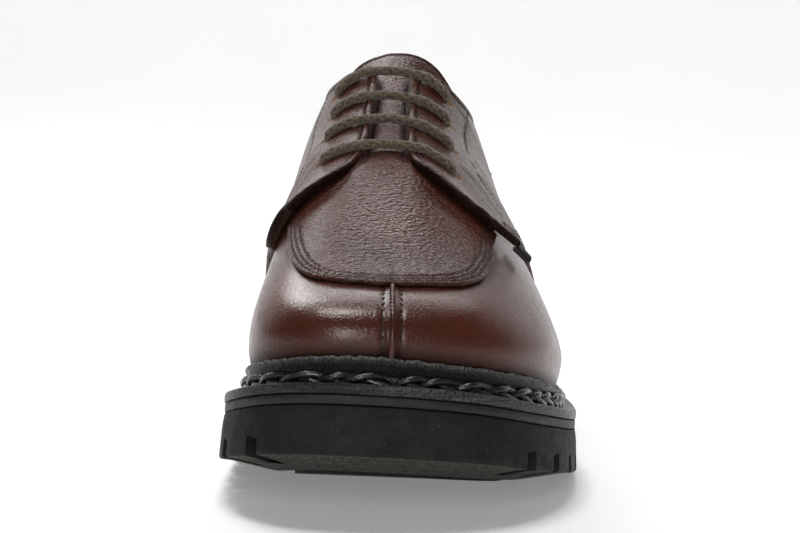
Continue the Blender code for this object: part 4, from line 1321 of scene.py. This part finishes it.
def quarter_up(place, body, inset):
    """Shares of the wall of the quarter's columns: its body from the welt up, then its edge strip."""
    edge, scale = edge_up(place), edge_scale(place)
    low, strip = place[:, :len(body)], slice(len(body), None)
    bottom = low_wall(low, QUARTER_FOOT)
    top = edge[:, :len(body)] - STRIP_WIDTH * scale[:, :len(body)]
    rim = edge[:, strip] - inset * scale[:, strip]
    return np.concatenate([bottom + (top - bottom) * body, rim], axis=1)


def quarter_front(sign, body, inset):
    """Where each column of the quarter starts along the shoe."""
    front = front_along(np.concatenate([0.92 * body, 1 - 0.08 * inset / STRIP_WIDTH]), sign)
    for turn in range(10):
        place = sign * front[None]
        shares = np.clip(quarter_up(place, body, inset)[0] / edge_up(place)[0], 0, 1)
        front = (front + front_along(shares, sign)) / 2
    return front


def creases(sign, place, up):
    """Depth of the listed creases of one side, each with a low ridge beside it."""
    trough = 0.0
    for side, points, depth, width in CREASES:
        if side == sign:
            line = smooth_path(points, 60)
            away = nearest(last(place, up), last(sign * line[:, 0], line[:, 1])) / MM
            trough = trough + depth * MM * (near(away, width) - 0.5 * near(away - 1.6 * width, width))
    return trough


def make_quarter(sign, name, finish, stitches):
    inset, share = strip_columns()
    inset, share = inset[::-1], share[::-1]
    body = np.linspace(0, 1, 72)[:-1]
    front = quarter_front(sign, body, inset)
    back, back_share = strip_columns()
    rest = np.linspace(0, 1, 200)[1:]
    start_up = quarter_up(sign * front[None], body, inset)[0]
    along = front[None] + back[:, None] * MM / span_along(sign * front, start_up)[None]
    along = np.concatenate([along, along[-1:] + (1 - HEEL_SEAM_HALF - along[-1:]) * rest[:, None]])
    place = sign * along
    up = quarter_up(place, body, inset)

    across = np.concatenate([STRIP_WIDTH + (1 - body) * FAR_INSET, inset])[None]
    behind = np.concatenate([back, STRIP_WIDTH + rest * FAR_INSET])[:, None]
    edge_share = np.concatenate([np.ones(len(body)), share])[None]
    height = np.minimum(edge_share, np.concatenate([back_share, np.ones(len(rest))])[:, None])
    seam_along, seam_up = facing_seam(sign)
    off_seam = nearest(last(place, up), last(seam_along, seam_up)) / MM
    gape = LIP_GAPE * lip_lift(sign, along, up)
    relief = roll(across) - creases(sign, place, up)
    relief = relief + groove(across, FACING_ROWS) - GROOVE_DEPTH * near(off_seam, GROOVE_WIDTH)
    lift = WALL + UNDER + gape + (QUARTER_FULL + relief) * height
    under = WALL + UNDER / 2 + gape
    free = smooth_step((over_upstand(place, up) - QUARTER_FREE_FROM) / QUARTER_FREE_REACH)
    lift = WALL + UNDER + (lift - WALL - UNDER) * free
    outer = raised(place, up, lift)
    inner = raised(place, up, np.minimum(under, lift - UNDER / 2))
    # Darker cut edge and stitch rows, painted shade over the welt, and painted shade along the lip where it
    # gapes
    burnish_and_shade = 0.92 * (1 - height) + 0.35 * near(across - FACING_ROWS[0], 0.4) + 0.3 * near(off_seam, 0.4)
    burnish_and_shade = burnish_and_shade + shade(over_upstand(place, up), QUARTER_WELT_PAINTED_SHADE)
    lip = near(np.minimum(across, behind), LIP_SHADE_WIDTH)
    burnish_and_shade = burnish_and_shade + 0.75 * smooth_step(gape / LIP_SHADE_FULL) * lip
    marks = {"burnish_and_shade": np.clip(burnish_and_shade, 0, 0.92)}
    made = shell(f"{name}_skin", outer, inner, whole_rim, [finish, finish], [name], marks)

    places = np.linspace(front[-1] + 0.004, 0.998, 900)
    shares = np.linspace(FRONT_SEAM_TOP[sign], FRONT_SEAM_END, 200)
    seam = front_along(shares, sign)
    front_line = beside(sign * seam, edge_up(sign * seam) * shares, sign * FRONT_ROW)
    rows = []
    for row in FACING_ROWS:
        rows.append((sign * places, edge_up(sign * places) - row * edge_scale(sign * places), FACING_THREAD))
    rows += [(seam_along, seam_up, SEAM_THREAD), (*front_line, FRONT_THREAD)]
    for row_along, row_up, over in rows:
        gape = LIP_GAPE * lip_lift(sign, np.abs(row_along), row_up)
        stitches.row(row_along, row_up, WALL + UNDER + QUARTER_FULL + over + gape)
    return made


def tongue_side(along):
    """Where the tongue's side edge lies up the wall."""
    near_top = smooth_step((along - TONGUE_RISE_FROM) / (TONGUE_END - TONGUE_RISE_FROM))
    return TONGUE_SIDE + TONGUE_CORNER * near_top


def tongue_flare(along, up):
    """How far the tongue's top stands out past the facings, more on the lateral side."""
    near_top = smooth_step((np.abs(along) - TONGUE_FLARE_FROM) / (TONGUE_END - TONGUE_FLARE_FROM))
    lateral, medial = (reach * smooth_step((start - up) / fade) for reach, start, fade in TONGUE_FLARES)
    return np.where(along > 0, lateral, medial) * near_top


def tongue_relief(inset):
    return groove(inset, (TONGUE_ROW,)) + TONGUE_ROLL * near(inset - 0.6, 0.6)


def make_tongue(finish, lining, stitches):
    inset, share = strip_columns()
    ahead = np.linspace(0, 1, 90)[:-1]
    scale = span_along(TONGUE_END, 0.97) / MM
    top = TONGUE_END - inset[::-1] / scale
    rows = np.concatenate([TONGUE_START + (top[0] - TONGUE_START) * ahead, top])
    insets = np.concatenate([STRIP_WIDTH + (1 - ahead) * FAR_INSET, inset[::-1]])[:, None]
    height = np.concatenate([np.ones(len(ahead)), share[::-1]])[:, None]
    across = np.linspace(0, 1, 34)
    start = tongue_side(rows)[:, None]
    half = start + (1 - start) * across
    up = np.concatenate([half, half[:, -2::-1]], axis=1)
    sign = np.concatenate([np.ones(len(across)), -np.ones(len(across) - 1)])
    along = rows[:, None] * sign
    middle = tongue_flare(along, up) - TONGUE_GAP - TONGUE_OUTER
    outer = raised(along, up, middle + TONGUE_OUTER * height + tongue_relief(insets) * height)
    inner = raised(along, up, middle - TONGUE_INNER * height)

    def rims(top_points):
        first = np.concatenate([top_points[0], top_points[1:, -1]])
        second = np.concatenate([top_points[-1, ::-1], top_points[-2::-1, 0]])
        return first, second

    burnish_and_shade = (0.5 * (1 - height) + 0.3 * near(insets - TONGUE_ROW, 0.4)) * np.ones_like(up)
    # Painted shadow on the tongue beside the facings' edges, fading out near its top
    clear = (up - edge_up(along)) * span_up(along, np.minimum(up, NEAR_RIDGE))
    below_top = smooth_step((TONGUE_SHADE_END - np.abs(along)) / TONGUE_SHADE_FADE)
    burnish_and_shade += shade(clear, TONGUE_PAINTED_SHADOW) * below_top
    marks = {"burnish_and_shade": np.clip(burnish_and_shade, 0, 0.97)}
    shell("tongue_skin", outer, inner, rims, [finish, lining], ["tongue"], marks)
    place = TONGUE_END - TONGUE_ROW / scale
    ups = tongue_side(place) + (1 - tongue_side(place)) * np.linspace(0.02, 0.98, 60)
    for side in (1.0, -1.0):
        lift = tongue_flare(side * place, ups) - TONGUE_GAP + tongue_relief(TONGUE_ROW) + TONGUE_THREAD
        stitches.row(np.full(len(ups), side * place), ups, lift)


def make_toe_seam(finish, stitches):
    """The bead of the split toe, twisted like a cord near the apron, and its side stitches."""
    low = low_wall(0.0, BEAD_FOOT)
    ups = np.linspace(low, edge_up(0.0) - BEAD_HEAD_GAP, BEAD_ROWS)
    middle = np.zeros(BEAD_ROWS)
    path = raised(middle, ups, WALL + BEAD_LIFT)
    length = walked_way(path)[-1]

    def twist(turn, walked):
        fade = smooth_step((walked / length - 0.40) / 0.25)
        return -BEAD_TWIST_DEPTH * fade * (0.5 + 0.5 * np.cos(2 * math.pi * walked / BEAD_TWIST + turn))

    points = tube(path, last_normal(middle, ups), BEAD_HALF, BEAD_SIDES, twist).reshape(-1, 3)
    faces = capped_tube(BEAD_ROWS, BEAD_SIDES)
    marks = {"burnish_and_shade": np.full(len(points), 0.15)}
    make_piece("toe_seam_bead", points, faces, [finish], ["toe_seam"], marks=marks)
    half = BEAD_ROWS // 2
    for side in (-1.0, 1.0):
        along = side * SEAM_SIDE / span_along(0.0, ups)
        lift = WALL + toe_relief(along, ups) + TOE_THREAD
        for part, lean in ((slice(0, half), TOE_LOW_LEAN), (slice(half, None), TOE_HIGH_LEAN)):
            stitches.row(along[part], ups[part], lift[part], pitch=TOE_STITCH_PITCH, lean=side * lean)


# Laces and eyelets

def lace_half(crossing, along, up):
    """The lace from inside its eyelet over the facing, and the point over the facing's edge."""
    top = WALL + UNDER + QUARTER_FULL
    shares = np.array([row[0] for row in LACE_CLIMB])
    lifts = top + CORD_RADIUS * np.array([row[1] for row in LACE_CLIMB])
    ways = along + (crossing - along) * shares
    ups = up + (edge_up(crossing) - up) * shares
    return raised(ways, ups, lifts), raised(crossing, edge_up(crossing), lifts[-1])


def weave(turn, walked):
    """Crossing strands of a round braided cord."""
    along = 2 * math.pi * walked / LACE_WEAVE
    around = LACE_STRANDS * turn
    return LACE_RELIEF * np.maximum(np.cos(around + along), 0.8 * np.cos(around - 0.9 * along + 1.0))


def make_laces(finish):
    for number, (crossing, lat_along, lat_up, med_along, med_up) in enumerate(EYELETS, 1):
        right, right_edge = lace_half(crossing, lat_along, lat_up)
        left, left_edge = lace_half(-crossing, -med_along, med_up)
        middle = (right_edge + left_edge) / 2 + np.array((0.0, 0.0, LACE_MIDDLE_LIFT))
        path = smooth_path(np.concatenate([right, middle[None], left[::-1]]), LACE_STEPS)
        points = tube(path, LACE_LEAN, CORD_RADIUS, LACE_SIDES, weave).reshape(-1, 3)
        faces = capped_tube(LACE_STEPS, LACE_SIDES)
        turn = np.linspace(0, 2 * math.pi, LACE_SIDES, endpoint=False)[None]
        # Painted shade in the grooves between the strands
        gap = smooth_step(0.5 - 0.9 * weave(turn, walked_way(path)[:, None]) / LACE_RELIEF)
        bar, marks = [f"lace_bar_{number}"], {"gap": LACE_GAP_SHADE * gap}
        make_piece(f"lace_{number}", points, faces, [finish], bar, marks=marks)


def drill(place, up):
    """Points and faces of a round cutter through the leather at one eyelet."""
    centre, axis = last(place, up), last_normal(place, up)
    ring = tube(centre + DRILL_SPAN[:, None] * axis, DRILL_SIDE, HOLE_RADIUS, DRILL_SIDES)
    return ring.reshape(-1, 3), capped_tube(len(DRILL_SPAN), DRILL_SIDES)


def cutter(name, shapes, finishes=()):
    """One hidden mesh of closed shapes that only cuts."""
    points, faces = [], []
    for shape_points, shape_faces in shapes:
        faces.extend(tuple(len(points) + number for number in face) for face in shape_faces)
        points.extend(np.asarray(shape_points).tolist())
    obj = add_object(name, points, faces, finishes)
    tidy_mesh(obj.data)
    return obj


def carve(obj, tool):
    """Cuts the tool out of a piece for good and throws the tool away."""
    boolean = obj.modifiers.new("carve", "BOOLEAN")
    boolean.operation = "DIFFERENCE"
    boolean.solver = "EXACT"
    boolean.material_mode = "TRANSFER" if tool.data.materials else "INDEX"
    boolean.object = tool
    graph = bpy.context.evaluated_depsgraph_get()
    carved = bpy.data.meshes.new_from_object(obj.evaluated_get(graph))
    obj.modifiers.clear()
    obj.data = carved
    bpy.data.objects.remove(tool)


def punch_eyelets(upper, quarters, raw_edge):
    for sign, quarter in quarters.items():
        first = 1 if sign > 0 else 3
        for obj in (quarter, upper):
            shapes = [drill(sign * row[first], row[first + 1]) for row in EYELETS]
            carve(obj, cutter("eyelet_drill", shapes, [raw_edge]))


def make_tag(finish):
    """A small folded tape with a rounded end that hangs out under the lateral lip's tip."""
    places = np.linspace(TAG_START, TAG_END, TAG_STEPS)
    down = np.linspace(0, 1, TAG_STEPS)
    flat = np.ones(TAG_STEPS)
    turn = np.linspace(0, math.pi, 9)[1:-1]
    reach = TAG_HANG * span_up(TAG_START, TAG_TOP)
    share = np.concatenate([down, 1 + TAG_HALF / reach * np.sin(turn), down[::-1]])
    side = np.concatenate([flat, np.cos(turn), -flat]) * TAG_HALF
    tip, root = TAG_LIFTS
    points = raised(places[:, None], TAG_TOP - TAG_HANG * share, root + (tip - root) * share + side)
    faces = capped_tube(len(places), len(share))
    points = points.reshape(-1, 3)
    make_piece("tag_tape", points, faces, [finish], ["side_tag"], sharp=SHARP_ANGLE)


# Welt, braid and sole

def rough_edge(count, seed, grain):
    """A ragged line round the shoe, between -1 and 1, the same on every run."""
    values = np.random.default_rng(seed).uniform(-1, 1, count)
    kernel = np.hanning(grain + 2)[1:-1]
    padded = np.concatenate([values[-grain:], values, values[:grain]])
    smooth = np.convolve(padded, kernel / kernel.sum(), mode="same")[grain:-grain]
    return smooth / np.abs(smooth).max()


# The welt's ragged and wavy top edge, in mm, and how far its fibres stand out
WELT_TOP, WELT_RAGGED, WELT_WAVY = 0.1, 0.35, 0.45
WELT_FRAY = 0.25 * MM
WELT_INNER = 0.4 * MM

# The upstand's section: share of its height, lift in mm past its inner face, or past its outer face with
# the share of the fray
UPSTAND_INSIDE = ((0.5, 0.0), (0.97, -0.2), (1.0, 0.35))
UPSTAND_OUTSIDE = (
    (0.995, -0.6, 0.0), (0.96, -0.1, 1.0), (0.88, 0.0, 0.5), (0.70, -0.05, 0.0), (0.45, -0.05, 0.0),
    (0.22, 0.25, 0.0),
)

# The flange's rim as reach and drop in mm, and the loops of the welt that are frayed or sanded
WELT_RIM = ((-0.9, 0.0), (-0.3, 0.2), (0.0, 0.7), (0.05, 1.5), (0.0, 2.8), (-0.2, 3.0))
FRAYED_LOOPS = {4: 1.0, 5: 1.0, 6: 1.0, 7: 1.0, 8: 0.35}
SANDED_LOOPS = {13: 0.4, 14: 1.0, 15: 1.0, 16: 1.0, 17: 1.0, 18: 1.0}


def make_welt(finish):
    along = ring_places(2 * RING_ROWS)
    reach = welt_reach(along)
    inner = -tuck(along) - WELT_INNER
    foot = up_at_height(along, SEAT_GAP)
    ragged = rough_edge(len(along), 5, 4)
    wavy = rough_edge(len(along), 8, 80)
    top = (WELT_TOP + WELT_RAGGED * ragged + WELT_WAVY * wavy) * MM
    head = up_at_height(along, upstand(np.abs(along)) + top)

    def on_ledge(points):
        return stack(points[:, 0], points[:, 1], ledge(points[:, 1]))

    def wall(share, lift):
        return raised(along, foot + (head - foot) * share, lift)

    fray = WELT_FRAY * np.roll(ragged, 7)
    loops = [
        sole_loop(along, inner, lambda y: ledge(y) - WELT_FLANGE),
        sole_loop(along, inner, ledge),
        on_ledge(raised(along, foot, STRIP_INNER)),
    ]
    loops += [wall(share, STRIP_INNER + lift * MM) for share, lift in UPSTAND_INSIDE]
    loops += [wall(share, STRIP_OUTER + lift * MM + part * fray) for share, lift, part in UPSTAND_OUTSIDE]
    loops.append(on_ledge(raised(along, foot, STRIP_OUTER + WELT_SPREAD)))
    loops += wall_loops(along, reach, [(out, -drop) for out, drop in WELT_RIM], ledge)
    marks = {}
    for mark, chosen in (("fray", FRAYED_LOOPS), ("rim", SANDED_LOOPS)):
        marks[mark] = np.repeat([chosen.get(number, 0.0) for number in range(len(loops))], len(along))
    loops_piece("welt_strip", loops, finish, ["welt"], ring=True, marks=marks)


def make_braid(finish):
    """Three thick threads plaited along the foot of the upstand."""
    base = ring_places(BRAID_ROWS)
    foot = up_at_height(base, SEAT_GAP)
    head = up_at_height(base, 2 * BRAID_MIDDLE)
    low = raised(base, foot, STRIP_OUTER + BRAID_LOW)
    high = raised(base, head, STRIP_OUTER + BRAID_HIGH)
    middle = (low + high) / 2
    rise_way = (high - low) / np.linalg.norm(high - low, axis=1, keepdims=True)
    out = stack(*outward(base), 0.0)
    steps = np.linalg.norm(np.roll(middle, -1, axis=0) - middle, axis=1)
    walked = np.append(0.0, np.cumsum(steps)[:-1]) / steps.sum()
    turns = round(steps.sum() / (BRAID_PITCH * BRAID_STRANDS))
    points, faces = [], []
    for strand in range(BRAID_STRANDS):
        stray = rough_edge(len(base), 20 + strand, 60)
        phase = 2 * math.pi * (walked * turns + strand / BRAID_STRANDS) + 0.5 * stray
        climb = BRAID_HALF_HEIGHT * (1 + 0.25 * np.roll(stray, 300)) * np.sin(phase)
        stand = BRAID_HALF_DEPTH * np.sin(2 * phase) + BRAID_STAND
        path = middle + rise_way * climb[:, None] + out * stand[:, None]
        ring = tube(path, out, BRAID_RADIUS, BRAID_SIDES)
        faces.extend(tube_faces(len(base), BRAID_SIDES, sum(map(len, points)), closed=True))
        points.append(ring.reshape(-1, 3))
    make_piece("welt_braid", np.concatenate(points), faces, [finish])


# Walls as reach past the piece's outline and height, in mm: midsole from its foot, outsole from the
# tread and from its top, heel from the floor, insole from the ledge. The belly's rows give its fall.
MIDSOLE_WALL = ((-0.2, 0.0), (0.1, 0.2), (0.15, 1.3), (0.15, 2.3), (0.0, 2.6), (-0.2, 2.7))
OUTSOLE_BELLY = ((-22.0, 3.5), (-15.0, 2.7), (-8.0, 1.3), (-2.5, 0.25))
BELLY_END, BELLY_BLEND = -40.0 * MM, 30.0 * MM
OUTSOLE_FOOT = ((0.35, 0.0), (0.8, 0.25), (1.0, 0.8), (1.0, 1.6))
OUTSOLE_HEAD = ((0.5, -4.2), (0.3, -2.4), (0.05, -1.0), (-0.05, -0.25), (-0.3, 0.0))
HEEL_WALL = ((-0.2, 0.0), (0.4, 0.2), (0.7, 0.9), (0.65, 2.0))
INSOLE_WALL = ((0.0, -3.0), (0.0, 2.0), (-0.3, 2.7), (-1.2, 3.0))


def wall_loops(along, reach, rows, height):
    """Loops of a wall given as rows of reach and height over a function of y."""
    return [sole_loop(along, reach + out * MM, lambda y, up=up: height(y) + up * MM) for out, up in rows]


def make_midsole(finish):
    along = ring_places()
    reach = welt_reach(along) - MIDSOLE_INSET
    loops = wall_loops(along, reach, MIDSOLE_WALL, lambda y: midsole_top(y) - MIDSOLE_THICK)
    loops_piece("midsole_layer", loops, finish, ["midsole"])


def hull_box(corners):
    return corners, [(0, 3, 2, 1), (4, 5, 6, 7), (0, 1, 5, 4), (1, 2, 6, 5), (2, 3, 7, 6), (3, 0, 4, 7)]


def notch_floor(along):
    """The height of the tread at the sole's edge: the heel block's is the floor."""
    y = outline(along, welt_reach(along))[1]
    return np.where(y > HEEL_BREAST_Y, 0.0, tread(y))


def side_notch(along):
    """A notch through the sole's edge, a little narrower at its roof."""
    out_x, out_y = outward(along)
    corners = []
    for level, width in ((-CUTTER_REACH, NOTCH_WIDTH), (NOTCH_HEIGHT, NOTCH_WIDTH * NOTCH_ROOF)):
        for side, ahead in ((-0.5, True), (0.5, True), (0.5, False), (-0.5, False)):
            x, y = outline(along, welt_reach(along) + (CUTTER_REACH if ahead else -LUG_REACH))
            corners.append((x - out_y * side * width, y + out_x * side * width, notch_floor(along) + level))
    return hull_box(corners)


def notch_places(sign):
    """Places of the side notches: the forefoot's behind the toe guard, then the heel's."""
    tries = sign * np.linspace(0, 1, 600)
    x, y = outline(tries, welt_reach(tries))
    walked = np.append(0.0, np.cumsum(np.hypot(np.diff(x), np.diff(y))))
    places = []
    for distance in np.arange(NOTCH_STARTS[sign], walked[-1] - NOTCH_PITCH, NOTCH_PITCH):
        at = np.interp(distance, walked, y)
        if at < LUG_END_Y or at > HEEL_BREAST_Y + NOTCH_PITCH:
            places.append(float(np.interp(distance, walked, tries)))
    return places


def centre_groove(y):
    """A groove across the middle of the forefoot."""
    corners = []
    for level in (-2 * CUTTER_REACH, LUG_DEPTH):
        for side, ahead in ((-1, -0.5), (1, -0.5), (1, 0.5), (-1, 0.5)):
            corners.append((GROOVE_MIDDLE + side * GROOVE_HALF, y + ahead * LUG_GROOVE, tread(y) + level))
    return hull_box(corners)


def channel():
    """The channel that parts the edge lugs from the middle ones, round the toe."""
    along = np.linspace(-CHANNEL_END, CHANNEL_END, 81)
    reach = welt_reach(along) - CHANNEL_INSET
    rings = []
    deep = -2 * CUTTER_REACH
    for level, side in ((deep, -0.5), (deep, 0.5), (LUG_DEPTH, 0.5), (LUG_DEPTH, -0.5)):
        x, y = outline(along, reach + side * LUG_GROOVE)
        rings.append(stack(x, y, tread(y) + level))
    points = np.stack(rings, axis=1).reshape(-1, 3)
    return points, capped_tube(len(along), len(rings))


def belly(y, fall):
    """The tread's height where it bulges by fall mm under the forefoot, never below the floor."""
    return np.maximum(tread(y) - fall * MM * smooth_step((BELLY_END - y) / BELLY_BLEND), 0.0)


def make_outsole(finish):
    along = ring_places()
    reach = welt_reach(along)
    loops = []
    for out, fall in OUTSOLE_BELLY:
        loops.append(sole_loop(along, reach + out * MM, lambda y, fall=fall: belly(y, fall)))
    loops += wall_loops(along, reach, OUTSOLE_FOOT, tread)
    loops += wall_loops(along, reach, OUTSOLE_HEAD, rubber_top)
    made = loops_piece("outsole_rubber", loops, finish, ["outsole"])
    places = [place for place in notch_places(1.0) + notch_places(-1.0) if abs(place) < HEEL_FROM]
    shapes = [side_notch(place) for place in places]
    shapes += [centre_groove(y * MM) for y in GROOVE_PLACES_Y] + [channel()]
    carve(made, cutter("tread_tool", shapes))


def heel_places(count):
    """Places from the breast round the heel, lateral side first."""
    sides = []
    for sign in (1.0, -1.0):
        tries = np.linspace(0.5, 0.95, 400)
        y = outline(sign * tries, welt_reach(sign * tries))[1]
        sides.append(np.linspace(np.interp(HEEL_BREAST_Y, y, tries), 1.0, count))
    return np.concatenate([sides[0], -sides[1][-2::-1]])


def make_heel(finish):
    along = heel_places(90)
    reach = welt_reach(along)
    loops = wall_loops(along, reach, HEEL_WALL, lambda y: 0.0 * y)
    loops.append(sole_loop(along, reach + HEEL_TOP_OUT, lambda y: tread(y) - HEEL_GAP))
    made = loops_piece("heel_rubber", loops, finish, ["heel"], skip=1)
    places = [place for place in notch_places(1.0) + notch_places(-1.0) if abs(place) > HEEL_FROM]
    carve(made, cutter("heel_tool", [side_notch(place) for place in places]))


def make_insole(finish):
    along = ring_places()
    loops = wall_loops(along, -tuck(along) - INSOLE_INSET, INSOLE_WALL, ledge)
    loops_piece("insole_sock", loops, finish, ["insole"])


# Stage, light and camera

FLOOR_RADIUS = 2.6
FLOOR_GLOW = 0.20
FLOOR_RINGS = (0.02, 0.5, 1.5)
FLOOR_SIDES = 96
SWEEP_RADIUS = 1.0
SWEEP_STEPS = 12
SWEEP_TOP = 3.2

# Area lights: name, place, target, width and height, power in watts
SHOE = (0.0, 0.0, 0.06)
LIGHTS = (
    ("overhead_softbox", (-0.18, 0.0, 1.74), SHOE, (0.60, 0.60), 16.5),
    ("back_left_softbox", (-0.66, 1.22, 1.45), SHOE, (0.65, 0.60), 10.0),
    ("back_right_softbox", (0.62, 1.15, 1.60), SHOE, (0.60, 0.50), 1.7),
    ("back_middle_softbox", (0.0, 1.70, 1.45), SHOE, (0.80, 0.30), 4.0),
    ("back_wash", (0.0, 1.6, 1.9), (0.0, 2.9, 0.3), (2.40, 0.80), 29.0),
    ("front_strip", (-0.02, -1.60, 0.45), SHOE, (0.34, 0.80), 8.5),
)
WORLD_GREY = 0.05


def make_floor():
    """A round floor that sweeps up into a wall."""
    turn = np.linspace(0, math.pi / 2, SWEEP_STEPS)
    far = FLOOR_RADIUS + SWEEP_RADIUS
    radius = np.concatenate([FLOOR_RINGS, FLOOR_RADIUS + SWEEP_RADIUS * np.sin(turn), [far]])
    height = np.concatenate([np.zeros(len(FLOOR_RINGS)), SWEEP_RADIUS * (1 - np.cos(turn)), [SWEEP_TOP]])
    around = np.linspace(0, 2 * math.pi, FLOOR_SIDES, endpoint=False)
    points = stack(radius[:, None] * np.cos(around), radius[:, None] * np.sin(around), height[:, None])
    faces = tube_faces(len(radius), len(around)) + [list(range(len(around)))]
    floor = add_object("floor", points.reshape(-1, 3), faces, [pale_floor()])
    floor.data.shade_smooth()
    floor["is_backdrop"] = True


def make_light():
    for name, place, target, size, power in LIGHTS:
        data = bpy.data.lights.new(name, "AREA")
        data.shape = "RECTANGLE"
        data.size, data.size_y = size
        data.energy = power
        lamp = bpy.data.objects.new(name, data)
        lamp.location = place
        lamp.visible_camera = False
        aim = Vector(target) - Vector(place)
        lamp.rotation_euler = aim.to_track_quat("-Z", "Y").to_euler()
        bpy.context.scene.collection.objects.link(lamp)
    world = bpy.data.worlds.new("studio")
    world.use_nodes = True
    world.node_tree.nodes["Background"].inputs["Color"].default_value = (1.0, 1.0, 1.0, 1.0)
    world.node_tree.nodes["Background"].inputs["Strength"].default_value = WORLD_GREY
    bpy.context.scene.world = world
    bpy.context.scene.view_settings.view_transform = "Standard"


def make_camera():
    turn, tilt = CAMERA_YAW, CAMERA_PITCH
    ahead = Vector((math.sin(turn) * math.cos(tilt), math.cos(turn) * math.cos(tilt), math.sin(tilt)))
    level = Vector((math.cos(turn), -math.sin(turn), 0.0))
    upright = level.cross(ahead)
    right = math.cos(CAMERA_ROLL) * level + math.sin(CAMERA_ROLL) * upright
    above = -math.sin(CAMERA_ROLL) * level + math.cos(CAMERA_ROLL) * upright
    data = bpy.data.cameras.new("camera")
    data.sensor_width = SENSOR_WIDTH
    data.lens = SENSOR_WIDTH * FOCAL_PIXELS / IMAGE_WIDTH
    camera = bpy.data.objects.new("camera", data)
    rows = [[right[i], above[i], -ahead[i], CAMERA_PLACE[i]] for i in range(3)]
    camera.matrix_world = Matrix(rows + [[0, 0, 0, 1]])
    bpy.context.scene.collection.objects.link(camera)
    bpy.context.scene.camera = camera


def main():
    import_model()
    cad_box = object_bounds()
    toe = leather("toe_leather", **TOE_LEATHER)
    quarter = leather("quarter_leather", **QUARTER_LEATHER)
    lining = lining_leather()
    rubber = black_rubber()
    stitches = Stitches()
    upper = make_upper(toe, lining)
    make_apron(leather("apron_leather", **APRON_LEATHER), stitches)
    quarters = {
        1.0: make_quarter(1.0, "quarter_lateral", quarter, stitches),
        -1.0: make_quarter(-1.0, "quarter_medial", quarter, stitches),
    }
    punch_eyelets(upper, quarters, lining)
    make_tongue(quarter, lining, stitches)
    make_toe_seam(toe, stitches)
    stitches.join("leather_stitches", stitch_thread())
    make_laces(lace_cord())
    make_tag(tag_fabric())
    make_welt(black_welt_leather())
    make_braid(braid_thread())
    make_midsole(edge_dressing())
    make_outsole(rubber)
    make_heel(rubber)
    make_insole(lining)
    make_floor()
    make_light()
    make_camera()
    both = {"cad": cad_box, "visual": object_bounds()}
    boxes = {name: [list(corner) for corner in box] for name, box in both.items()}


main()
